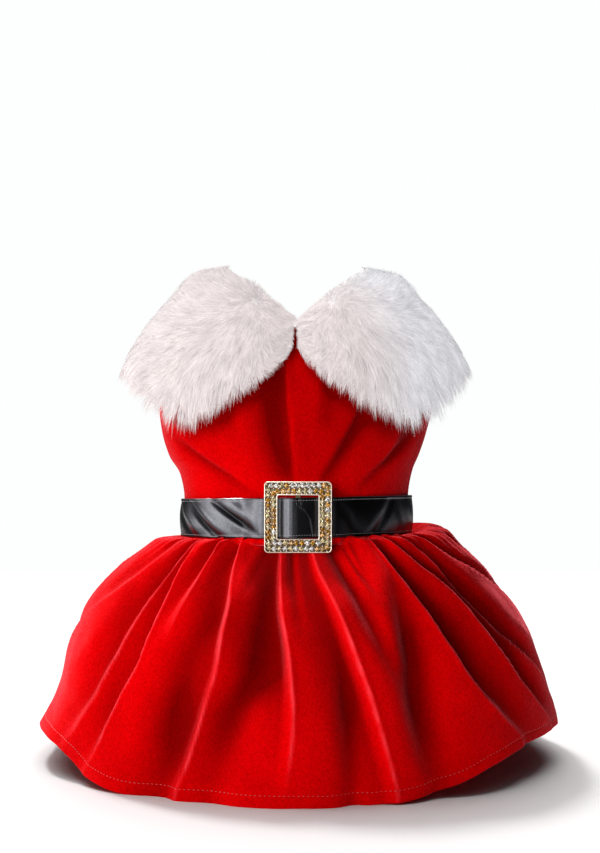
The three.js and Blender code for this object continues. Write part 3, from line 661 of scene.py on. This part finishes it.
def textured(tree, scale, detail=3.0, stretch=(1, 1, 1), roughness=0.5):
    """Noise over the object's own coordinates in metres."""
    place = node(tree, "ShaderNodeTexCoord")
    mapping = node(tree, "ShaderNodeMapping")
    mapping.inputs["Scale"].default_value = stretch
    tree.links.new(place.outputs["Object"], mapping.inputs["Vector"])
    made = node(tree, "ShaderNodeTexNoise", Scale=scale, Detail=detail, Roughness=roughness)
    tree.links.new(mapping.outputs["Vector"], made.inputs["Vector"])
    return made.outputs["Fac"]


def stored(tree, key, output="Fac"):
    """A value that the mesh's points hold."""
    return node(tree, "ShaderNodeAttribute", attribute_name=key).outputs[output]


def grey(level):
    return level, level, level


def ramp(tree, factor, *stops):
    made = node(tree, "ShaderNodeValToRGB")
    elements = made.color_ramp.elements
    while len(elements) < len(stops):
        elements.new(0.5)
    for element, (place, colour) in zip(elements, stops):
        element.position, element.color = place, (*colour, 1)
    tree.links.new(factor, made.inputs["Fac"])
    return made.outputs["Color"]


def feed(tree, shader, value, *inputs):
    for key in inputs:
        tree.links.new(value, shader.inputs[key])


def bump(tree, shader, height, distance, strength=1.0):
    made = node(tree, "ShaderNodeBump", Strength=strength, Distance=distance)
    tree.links.new(height, made.inputs["Height"])
    tree.links.new(made.outputs["Normal"], shader.inputs["Normal"])


def blend(tree, factor, first, second, kind="MIX"):
    """Two colours blended; factor, first and second are each a socket or a value."""
    made = node(tree, "ShaderNodeMix", data_type="RGBA", blend_type=kind)
    for socket, value in ((made.inputs[0], factor), (made.inputs[6], first), (made.inputs[7], second)):
        if isinstance(value, bpy.types.NodeSocket):
            tree.links.new(value, socket)
        else:
            socket.default_value = (*value, 1) if isinstance(value, tuple) else value
    return made.outputs[2]


def velvet_material():
    made, tree, shader = material(
        "velvet", (0.4, 0.0, 0.001), 0.7, Specular_IOR_Level=0.0, Sheen_Roughness=0.35,
        Sheen_Tint=(1.0, 0.2, 0.24, 1),
    )
    shade = stored(tree, "shade")
    # Painted shade: the shade attribute takes the pile from bright red on the ridges to dark red in the
    # folds.
    pile = ramp(tree, shade, (0.0, (0.8, 0.0, 0.001)), (0.4, (0.6, 0.0, 0.0006)), (0.9, (0.24, 0.0, 0.0)))
    brushed = ramp(tree, textured(tree, 34, 4.0, (1, 1, 0.45)), (0.3, grey(0.78)), (0.7, grey(1)))
    grain = textured(tree, 900, 3.0, (1, 1, 0.7), 0.75)
    flecks = ramp(tree, grain, (0.3, grey(0.72)), (0.7, grey(1.15)))
    colour = blend(tree, 1.0, blend(tree, 1.0, pile, brushed, "MULTIPLY"), flecks, "MULTIPLY")
    # Painted highlight: along the ridges the pile turns a pale pinkish red, as the velvet's sheen.
    colour = blend(tree, stored(tree, "ridge_sheen"), colour, (0.92, 0.07, 0.09))
    feed(tree, shader, colour, "Base Color")
    feed(tree, shader, ramp(tree, grain, (0.35, grey(0.25)), (0.7, grey(1))), "Sheen Weight")
    bump(tree, shader, grain, 0.0007, 0.4)
    return made


def fur_material(name, tip, root, cool_shade_tip):
    # Painted light: the fur glows faintly in its own colour, lifting the shade between strands.
    made, tree, shader = material(name, tip, 0.8, Specular_IOR_Level=0.0, Emission_Strength=0.25)
    # Painted shade: each strand is darker towards its root, deep in the pile.
    strand = ramp(tree, stored(tree, "length"), (0.0, root), (0.6, tip))
    locks = ramp(tree, stored(tree, "lock"), (0.0, (0.7, 0.68, 0.69)), (1.0, grey(1.14)))
    # The strands turn towards a bluish grey where cool shade is painted.
    colour = blend(tree, 1.0, blend(tree, stored(tree, "cool_shade"), strand, cool_shade_tip), locks, "MULTIPLY")
    feed(tree, shader, colour, "Base Color", "Emission Color")
    return made


def satin_material():
    made, tree, shader = material("satin", (0.08, 0.08, 0.09), 0.32, Metallic=1.0, Anisotropic=0.4)
    bump(tree, shader, textured(tree, 2600, 2.0, (0.35, 0.35, 1.6), 0.6), 0.0002, 0.35)
    weave = textured(tree, 1500, 3.0, (0.5, 0.5, 1.5), 0.7)
    colour = ramp(tree, weave, (0.3, (0.055, 0.055, 0.062)), (0.7, (0.125, 0.126, 0.14)))
    # Painted shade: the satin goes to near black where this attribute is high.
    feed(tree, shader, blend(tree, stored(tree, "painted_shade"), colour, (0.012, 0.012, 0.014)), "Base Color")
    return made


def gold_material():
    made, tree, shader = material("gold_plate", (0.95, 0.86, 0.7), 0.3, Metallic=0.6)
    colour = ramp(tree, textured(tree, 500, 4.0), (0.3, (0.85, 0.72, 0.54)), (0.7, (1.0, 0.94, 0.83)))
    # Painted shade: the bar and the floor between the rims are darkened.
    feed(tree, shader, blend(tree, stored(tree, "deep"), colour, (0.12, 0.08, 0.04)), "Base Color")
    bump(tree, shader, textured(tree, 1400, 2.0), 0.0002, 0.2)
    return made


def stone_material():
    # Painted light: the stones glow faintly in their colours and painted glints.
    made, tree, shader = material("stone", grey(0.8), 0.08, Specular_IOR_Level=0.8, Emission_Strength=0.12)
    feed(tree, shader, stored(tree, "colour_and_glint", "Color"), "Base Color", "Emission Color")
    return made


def thread_material(name, colour):
    made, tree, shader = material(name, colour, 0.5, Sheen_Weight=0.3)
    bump(tree, shader, textured(tree, 2500, 1.0), 0.0002, 0.4)
    return made


VELVET_RED = velvet_material()
FUR_WHITE = fur_material("fur", (0.66, 0.615, 0.61), (0.53, 0.475, 0.475), (0.72, 0.735, 0.76))
PELT = material("pelt", (0.8, 0.78, 0.78), 0.9, Specular_IOR_Level=0.0)[0]
SATIN = satin_material()
GOLD = gold_material()
CUT_STONE = stone_material()
RED_THREAD = thread_material("red_thread", (0.5, 0.01, 0.012))
BLACK_THREAD = thread_material("black_thread", (0.2, 0.2, 0.21))

# ---- Skirt and bodice ----
HALVES = (("front", -90), ("rear", 90))
SKIRT_ROWS = ((0.0, 0.07, 4), (0.07, 0.2, 16), (0.2, 0.94, 46), (0.94, 0.97, 7), (0.97, 1.0, 5))
skirt_falls = np.unique(np.concatenate([np.linspace(*stretch) for stretch in SKIRT_ROWS]))
skirt_thick = VELVET + HEM_FOLD * smooth((skirt_falls - HEM_DEPTH) / 0.012)
skirt = []
for half, start in HALVES:
    piece = velvet_panel("skirt_" + half, SKIRT, skirt_surface, start, 401, skirt_falls, skirt_thick)
    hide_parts("skirt_" + half)
    skirt.append(piece)

bodice_falls = np.linspace(0, 1, 61)
bodice_thick = np.full_like(bodice_falls, VELVET)
for half, start in HALVES:
    piece = velvet_panel("bodice_" + half, BODICE, bodice_surface, start, 121, bodice_falls, bodice_thick)
    for side in (-1, 1):
        bpy.ops.mesh.primitive_cylinder_add(vertices=64, radius=1, depth=1, rotation=(0, math.pi / 2, 0))
        cutter = bpy.context.object
        cutter.scale = Vector([LEG_HOLE[key] * MM for key in ("half_height", "half_depth", "long")])
        cutter.location = Vector((side * LEG_HOLE["aside"] * MM, 0, LEG_HOLE["height"] * MM)) + Vector(SHIFT)
        cut = piece.modifiers.new("leg_hole", "BOOLEAN")
        cut.operation, cut.solver, cut.object = "DIFFERENCE", "EXACT", cutter
        bpy.context.view_layer.objects.active = piece
        bpy.ops.object.modifier_apply(modifier=cut.name)
        bpy.data.objects.remove(cutter)
    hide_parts("bodice_" + half)

stitch_rows("hem_stitches", skirt_surface, (HEM_STITCH["fall"],), HEM_STITCH, RED_THREAD)

# ---- Belt ----
belt_azimuths = np.unique(np.concatenate([np.linspace(-180, 180, 481)[1:], np.linspace(-9, 9, 121)]))
azimuth, share = np.meshgrid(belt_azimuths, np.linspace(0, 1, 31), indexing="ij")
outer = belt_surface(azimuth, share)
inner = outer - normals_of(belt_surface, azimuth, share) * (RIBBON * 0.6)
belt = make_object("satin_belt", [outer, inner], [wall_faces(*azimuth.shape, True)], SATIN)
# The satin's painted shade.
point_values(belt, "painted_shade", np.tile(belt_painted_shade(azimuth, share).ravel(), 2))
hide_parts("belt")
stitch_rows("belt_stitches", belt_surface, BELT_STITCH["falls"], BELT_STITCH, BLACK_THREAD)


# ---- Buckle ----

def frame_loop(share):
    """A rounded rectangle in the buckle's plane: share 0 is its outer edge and 1 its opening."""
    width = mix(BUCKLE["width"], BUCKLE["opening"], share) / 2
    height = mix(BUCKLE["height"], BUCKLE["opening_height"], share) / 2
    corner = mix(2.4, 0.9, share)
    angle = np.radians(np.linspace(0, 90, 7))
    points = []
    for quarter, (sx, sz) in enumerate(((1, 1), (-1, 1), (-1, -1), (1, -1))):
        turned = angle + quarter * np.pi / 2
        x, z = corner * np.cos(turned), corner * np.sin(turned)
        points.append(together(sx * (width - corner) + x, sz * (height - corner) + z))
    return np.concatenate(points)


def on_buckle(x, z, rise):
    """Points at places in the buckle's plane, measured from its middle, that rise from its back."""
    return together(x + BUCKLE_PLACE["x"], BUCKLE_PLACE["y"] - rise, z + BUCKLE_PLACE["z"])


# The frame's section, from its outer back edge over both rims to the opening: share across the band and rise.
SECTION = (
    (0.0, 0.0), (0.0, 2.2), (0.01, 2.55), (0.03, 2.75), (0.055, 2.75), (0.075, 2.55), (0.082, 1.7),
    (0.5, 1.7), (0.918, 1.7), (0.925, 2.55), (0.945, 2.75), (0.97, 2.75), (0.99, 2.55), (1.0, 2.2),
    (1.0, 0.0),
)
BAR = {"half": 1.5, "past": 0.6, "thick": 1.0}
loops = np.array([on_buckle(*frame_loop(share).T, rise) for share, rise in SECTION])
count, around = loops.shape[:2]
i, j = (g.ravel() for g in np.meshgrid(np.arange(count), np.arange(around), indexing="ij"))
at = lambda a, b: (a % count) * around + b % around
frame_faces = together(at(i, j), at(i, j + 1), at(i + 1, j + 1), at(i + 1, j))
bar_x, bar_z = BAR["half"], BUCKLE["opening_height"] / 2 + BAR["past"]
corners = [(x, z, rise) for x in (-bar_x, bar_x) for rise in (0, BAR["thick"]) for z in (-bar_z, bar_z)]
bar_faces = np.array([[0, 1, 3, 2], [4, 6, 7, 5], [0, 4, 5, 1], [2, 3, 7, 6], [0, 2, 6, 4], [1, 5, 7, 3]])
points = np.concatenate([loops.reshape(-1, 3), on_buckle(*np.array(corners).T)])
buckle = make_object("gold_buckle", points, [frame_faces, bar_faces + count * around], GOLD)
set_flat(buckle, -len(bar_faces))
# The bar and the floor between the rims are painted dark, as painted shade in these recesses.
deep = [float(0 < share < 1 and rise < 2) for share, rise in SECTION]
point_values(buckle, "deep", np.concatenate([np.repeat(deep, around), np.ones(len(corners))]))
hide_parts("buckle")


def even_places(share, count, offset):
    """Points spread evenly along a loop of the frame."""
    loop = frame_loop(share)
    closed = np.concatenate([loop, loop[:1]])
    run = run_along(closed)
    at = (np.arange(count) + offset) / count * run[-1]
    return together(np.interp(at, run, closed[:, 0]), np.interp(at, run, closed[:, 1]))


# Two rows of stones, and the prongs beside and between them: share across the band, how many, and the first
# one's offset.
STONES = ((0.295, 45, 0.0), (0.705, 36, 0.4))
PRONGS = ((0.295, 45, 0.5), (0.5, 42, 0.2), (0.705, 36, 0.9), (0.12, 45, 0.5), (0.88, 36, 0.9))
STONE = {"radius": 1.55, "rise": 2.0, "high": 1.15}
PRONG = {"radius": 0.4, "rise": 2.25}

AMBER, CLEAR, PALE = (0.5, 0.24, 0.03), (0.85, 0.84, 0.8), (0.62, 0.5, 0.27)
rng = np.random.default_rng(5)
places = np.concatenate([even_places(*row) for row in STONES])
eight = np.arange(8) * np.pi / 4
cut = np.concatenate([
    [[0, 0, -0.2]],
    together(np.cos(eight), np.sin(eight), 0),
    together(0.78 * np.cos(eight + 0.39), 0.78 * np.sin(eight + 0.39), 0.34),
    together(0.48 * np.cos(eight), 0.48 * np.sin(eight), 0.5),
    [[0, 0, 0.52]],
])
k = np.arange(8)
n = (k + 1) % 8
facets = np.concatenate([
    together(0, 1 + n, 1 + k),
    together(1 + k, 1 + n, 9 + k), together(1 + n, 9 + n, 9 + k),
    together(9 + k, 9 + n, 17 + n), together(17 + k, 9 + k, 17 + n),
    together(17 + k, 17 + n, 25),
])
points, colours_and_glints = [], []
for x, z in places:
    spin = rng.uniform(0, 0.8)
    size = STONE["radius"] * rng.uniform(0.95, 1.04)
    tilt_x, tilt_z = rng.uniform(-0.12, 0.12, 2)
    px = (cut[:, 0] * math.cos(spin) - cut[:, 1] * math.sin(spin)) * size
    pz = (cut[:, 0] * math.sin(spin) + cut[:, 1] * math.cos(spin)) * size
    rise = STONE["rise"] + cut[:, 2] * size * STONE["high"] + tilt_x * px + tilt_z * pz
    points.append(on_buckle(x + px, z + pz, rise))
    base = np.array((AMBER, CLEAR, PALE)[rng.choice(3, p=(0.32, 0.34, 0.34))])
    # Painted glints: each facet's colour is made brighter or darker at random, as flashes and dark
    # reflections.
    glint = rng.choice((0.06, 0.35, 0.9, 1.8), (len(facets), 1), p=(0.3, 0.25, 0.25, 0.2))
    colours_and_glints.append(np.clip(base * glint, 0, 1))
stone_faces = (facets[None] + (np.arange(len(places)) * len(cut))[:, None, None]).reshape(-1, 3)
stones = make_object("buckle_stones", np.concatenate(points), [stone_faces], CUT_STONE)
set_flat(stones)
colour_and_glint = stones.data.color_attributes.new("colour_and_glint", "FLOAT_COLOR", "CORNER")
colours = np.repeat(np.concatenate([np.concatenate(colours_and_glints), np.ones((len(stone_faces), 1))], 1), 3, axis=0)
colour_and_glint.data.foreach_set("color", colours.ravel())

prongs = on_buckle(*np.concatenate([even_places(*row) for row in PRONGS]).T, PRONG["rise"])
beads("buckle_prongs", prongs, PRONG["radius"], GOLD)

# ---- Fur collar ----
# The pile lies outwards from a line along each lobe: "middle" is how far down it is.
PILE = {
    "strands": 60000, "long": (6.5, 13.5), "high": (0.8, 4.4), "radius": 0.12, "middle": 0.24, "lock": 3.6,
    "droop": 10.0,
}
# How far the pile leans round the lobe by azimuth: towards the V, the outer corner, and the rear.
LEAN = table(
    "azimuth round",
    (0, -30), (20, -6), (32, 6), (48, 44), (70, 52), (90, 4), (110, -40), (130, -26), (148, 0), (177, 50),
)
# It stands up where the neck is widest.
NECK_PUFF = {"high": 5, "share": 0.2, "down": 0.1, "azimuth": 88, "wide": 34}
PELT_END = 0.91
LOBE = {"span": 84.0, "radius": 85.0, "area": 21500}


def lobe_side(points, side):
    points[..., 0] = COLLAR_CENTRE + side * points[..., 0]
    return points


def pelt(name, side):
    """The collar's backing, a thin wall on its middle surface."""
    columns, rows = 81, 25
    azimuth = np.linspace(COLLAR["azimuth"][0], COLLAR["azimuth"][-1], columns)[:, None] * np.ones(rows)
    share = np.broadcast_to(np.linspace(0, PELT_END, rows), (columns, rows))
    middle, out = collar_surface(azimuth, share), normals_of(collar_surface, azimuth, share)
    points = lobe_side(np.stack([middle + out * 0.8, middle - out * 1.0]), side)
    faces = wall_faces(columns, rows, False)
    return make_object(name, points, [faces if side > 0 else faces[:, ::-1]], PELT)


def lobe_strands(side, seed, short_band):
    """Three points along every strand of one lobe, its outward directions there, its azimuth and its lock."""
    rng = np.random.default_rng(seed)
    count = PILE["strands"] // 1
    first, last = COLLAR["azimuth"][0] - 1, COLLAR["azimuth"][-1] + 1
    azimuth, share = rng.uniform(first, last, count * 3), rng.uniform(0, PELT_END + 0.01, count * 3)
    out = collar_profile(azimuth, share)[0]
    keep = rng.uniform(0, 1, count * 3) < out / out.max()
    azimuth, share, out = azimuth[keep][:count], share[keep][:count], out[keep][:count]
    count = len(azimuth)

    # Which way each lies, in millimetres round the lobe and down it.
    round_it = read(LEAN, "round", azimuth) * mix(1.0, 0.55, smooth((share - 0.5) * 2.2))
    down_it = (share - PILE["middle"]) * LOBE["span"] + PILE["droop"]
    angle = np.arctan2(round_it, down_it)
    angle += np.radians(24 * noise((azimuth + 20) / 220, share, (13, 6), seed + 1) + rng.normal(0, 9, count))
    settled = smooth(np.hypot(round_it, down_it) / 14)
    long = rng.uniform(*PILE["long"], count) * mix(0.75, 1.0, settled)
    high = rng.uniform(*PILE["high"], count)
    near_edge = ease(share, 0.12, 0)
    long *= mix(1, 0.6, near_edge)
    puff = bell((azimuth - NECK_PUFF["azimuth"]) / NECK_PUFF["wide"])
    puff = puff * bell((share - NECK_PUFF["share"]) / NECK_PUFF["down"])
    high = high * mix(1, 0.5, near_edge) + NECK_PUFF["high"] * puff
    if short_band:
        band = ease(share, 0.2, 0.15) * ease(azimuth, 105, 75)
        long *= mix(1, 0.45, band)
        high *= mix(1, 0.4, band)
    stray = rng.random(count) < 0.03
    angle[stray] += rng.uniform(-0.6, 0.6, stray.sum())
    high[stray] += 1.6

    # Strands lean to the leader of the lock that they belong to.
    leaders = int(LOBE["area"] / PILE["lock"] ** 2)
    own = together(np.radians(azimuth) * LOBE["radius"], share * LOBE["span"])
    reach = np.random.default_rng(seed).uniform(0.8, 1.2, (1, leaders))
    lock = np.empty(count, int)
    for block in range(0, count, 2000):
        gap = np.linalg.norm(own[block:block + 2000, None] - own[None, :leaders], axis=-1)
        lock[block:block + 2000] = np.argmin(gap * reach, axis=1)
    tip_share = share + long * np.cos(angle) / LOBE["span"]
    tip_azimuth = azimuth + np.degrees(long * np.sin(angle) / out)
    pull = np.where(stray, 0.0, rng.uniform(0.1, 0.6, count)) * mix(0.7, 1.25, smooth((share - 0.6) * 3))
    tip_share = mix(tip_share, tip_share[lock] + 0.25 * (share - share[lock]), pull)
    tip_azimuth = mix(tip_azimuth, tip_azimuth[lock] + 0.25 * (azimuth - azimuth[lock]), pull)
    tip_azimuth = np.maximum(tip_azimuth, rng.uniform(0.2, 6, count))  # the lobes part at the V
    tip_high = mix(high, high[lock], 0.5)

    lines, outs = [], []
    for s, lifted in ((0.0, 0.15), (0.5, 0.85), (1.0, 1.0)):
        a, v = mix(azimuth, tip_azimuth, s ** 1.15), mix(share, tip_share, s ** 1.15)
        normal = normals_of(collar_surface, a, np.clip(v, 0.006, 0.994))
        lines.append(lobe_side(collar_surface(a, v) + normal * (0.4 + tip_high * lifted)[:, None], side))
        outs.append(normal * [side, 1, 1])
    return np.stack(lines, 1), np.stack(outs, 1), azimuth, lock, rng


def strands_object(name, lines, outs, lock, cool_shade, rng):
    """Flat strands that taper to a point and lie at random rolls, joined in one mesh."""
    count = len(lines)
    along_line = direction(np.gradient(lines, axis=1))
    across = direction(np.cross(along_line, outs))
    up = np.cross(across, along_line)
    roll = rng.uniform(-0.7, 0.7, count)[:, None, None]
    across = across * np.cos(roll) + up * np.sin(roll)
    size = PILE["radius"] * rng.uniform(0.7, 1.3, count)[:, None, None, None]
    body = lines[:, :2, None] + size * np.array([-1.0, 1.0])[:, None] * across[:, :2, None]
    points = np.concatenate([body.reshape(count, 4, 3), lines[:, 2:]], axis=1)
    start = np.arange(count)[:, None] * 5
    piece = make_object(name, points, [start + [0, 1, 3, 2], start + [2, 3, 4]], FUR_WHITE)
    # Light falls on the pile as on one soft mass, so its corners take mostly the collar's own directions.
    soft = outs * [0.1, 0.7, 0.8] + 0.3 * up + [0, -0.2, 0.2] + rng.normal(0, 0.13, (count, 1, 3))
    soft = direction(np.concatenate([np.repeat(soft[:, :2], 2, axis=1), soft[:, 2:]], axis=1))
    piece.data.normals_split_custom_set_from_vertices(soft.reshape(-1, 3).tolist())
    shade = np.random.default_rng(77).uniform(0, 1, 20000)[lock] * 0.32 + rng.uniform(0, 0.68, count)
    lengths = np.tile([0, 0, 0.5, 0.5, 1.0], count)
    for key, values in (("length", lengths), ("lock", np.repeat(shade, 5)), ("cool_shade", np.repeat(cool_shade, 5))):
        point_values(piece, key, values)
    return piece


for name, side, seed in (("collar_left", -1, 21), ("collar_right", 1, 33)):
    base = pelt("pelt_" + name, side)
    lines, outs, azimuth, lock, rng = lobe_strands(side, seed, side > 0)
    # Painted cool shade: the right lobe from its outer side round to the rear, and weakly the left lobe from
    # its outer corner back, turn bluish grey away from the warm light.
    cool_shade = 0.85 * ease(azimuth, 25, 65) if side > 0 else 0.25 * ease(azimuth, 70, 110)
    casts = rng.random(len(lines)) < 0.22  # if all did, hard dark gaps would show where light comes through
    fur = []
    for part, keep in (("top", casts), ("under", ~casts)):
        fur.append(strands_object(f"fur_{name}_{part}", lines[keep], outs[keep], lock[keep], cool_shade[keep], rng))
        fur[-1].visible_shadow = part == "top"
    base.visible_shadow = False
    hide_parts(name)

# ---- Floor, light and camera ----
FLOOR = {"half": 0.9, "front": -0.34, "back": 1.2}
floor_mesh = bpy.data.meshes.new("floor")
corners = [(side * FLOOR["half"], FLOOR[end], 0) for end in ("front", "back") for side in (-1, 1)]
floor_mesh.from_pydata(corners, [], [(0, 1, 3, 2)])
floor_mesh.materials.append(material("floor", (0.82, 0.825, 0.823), 0.75, Specular_IOR_Level=0.2)[0])
floor = link_new("floor", floor_mesh)

# The studio is brightest high on the left, and dark towards the right and behind the camera.
world = bpy.data.worlds.new("studio")
scene.world = world
world.use_nodes = True
tree = world.node_tree
place = node(tree, "ShaderNodeTexCoord")
toward = node(tree, "ShaderNodeVectorMath", operation="DOT_PRODUCT")
toward.inputs[1].default_value = Vector((-0.5, 0.5, 0.7)).normalized()
tree.links.new(place.outputs["Generated"], toward.inputs[0])
light = toward.outputs["Value"]
sky = ramp(tree, light, (0.0, (0.16, 0.18, 0.2)), (0.45, (0.5, 0.51, 0.53)), (1.0, (1.0, 0.99, 0.97)))
dark = node(tree, "ShaderNodeMapRange", **{"From Min": -0.5, "From Max": 0.5, "To Min": 0.03, "To Max": 0.22})
tree.links.new(light, dark.inputs["Value"])
tree.links.new(sky, tree.nodes["Background"].inputs["Color"])
tree.links.new(dark.outputs["Result"], tree.nodes["Background"].inputs["Strength"])

# A flag in the waist, unseen, keeps the lamps behind from shining through it.
FLAG_PLACE = (-0.002, 0, 0.15)
bpy.ops.mesh.primitive_circle_add(vertices=32, radius=0.07, fill_type="NGON")
flag = bpy.context.object
flag.name = "flag"
flag.location = Vector(FLAG_PLACE) + Vector(SHIFT)
flag.scale = (1.02, 0.8, 1)
flag.visible_camera = flag.visible_diffuse = flag.visible_glossy = flag.visible_transmission = False


# A broad lamp and a small one high behind light the floor and draw its shadow. Another small one lights the
# cloth from there, and one the fur from above. One lights everything from high on the left, and two broad low
# ones the left side and the front.
def lit_by(lamp_name, piece):
    pile = piece.name.startswith(("fur_", "pelt_"))
    if lamp_name.startswith("floor") or piece == floor:
        return lamp_name.startswith("floor") and piece == floor
    return not (lamp_name == "rear" and pile) and not (lamp_name == "fur" and not pile)


for name, energy, spread, colour, way in (
    ("floor_soft", 3.3, 68, (1.0, 0.99, 0.99), (-0.15, 0.72, 1.0)),
    ("floor_key", 1.9, 8, (1.0, 0.99, 0.99), (-0.36, 0.86, 1.0)),
    ("rear", 4.4, 9, grey(1), (-0.24, 0.75, 1.0)),
    ("fur", 1.3, 20, grey(1), (-0.25, 0.2, 1.0)),
    ("left", 0.7, 22, grey(1), (-0.9, 0.45, 1.0)),
    ("side", 1.9, 40, (1.0, 0.99, 0.97), (-1.0, -0.4, 0.14)),
    ("front", 1.9, 40, grey(1), (-0.45, -1.0, 0.08)),
):
    sun = bpy.data.lights.new(name, "SUN")
    sun.energy, sun.angle, sun.color = energy, math.radians(spread), colour
    lamp = link_new(name, sun)
    lamp.rotation_euler = Vector(way).to_track_quat("Z", "Y").to_euler()
    lamp.light_linking.receiver_collection = bpy.data.collections.new("lit")
    for piece in scene.collection.objects:
        if piece.type == "MESH" and lit_by(name, piece):
            lamp.light_linking.receiver_collection.objects.link(piece)
    if name not in ("side", "front"):  # the skirt alone draws the shadow on the floor
        lamp.light_linking.blocker_collection = bpy.data.collections.new("shadow_makers")
        for piece in (*skirt, flag):
            lamp.light_linking.blocker_collection.objects.link(piece)

# A white dome far behind everything, which only the camera sees.
bpy.ops.mesh.primitive_uv_sphere_add(segments=48, ring_count=24, radius=20)
dome = bpy.context.object
dome.name = "backdrop"
glow = material("backdrop", grey(0), 1.0, Emission_Color=(0.985, 1.0, 0.993, 1), Emission_Strength=1.0)
dome.data.materials.append(glow[0])
dome.visible_diffuse = dome.visible_glossy = dome.visible_transmission = dome.visible_shadow = False
dome.visible_volume_scatter = False

FOCAL_PIXELS, PICTURE_HEIGHT, HORIZON = 1347.0, 853, 440.0
SENSOR_HEIGHT = 36.0
CAMERA_PLACE = (0, -0.9, 0.2049)
camera = bpy.data.cameras.new("camera")
camera.sensor_fit, camera.sensor_height = "VERTICAL", SENSOR_HEIGHT
camera.lens = FOCAL_PIXELS * SENSOR_HEIGHT / PICTURE_HEIGHT
camera.clip_start, camera.clip_end = 0.05, 50
view = link_new("camera", camera)
view.location = Vector(CAMERA_PLACE) + Vector(SHIFT)
view.rotation_euler = (math.pi / 2 + math.atan((HORIZON - PICTURE_HEIGHT / 2) / FOCAL_PIXELS), 0, 0)
scene.camera = view

scene.view_settings.view_transform = "Standard"
scene.view_settings.look = "None"
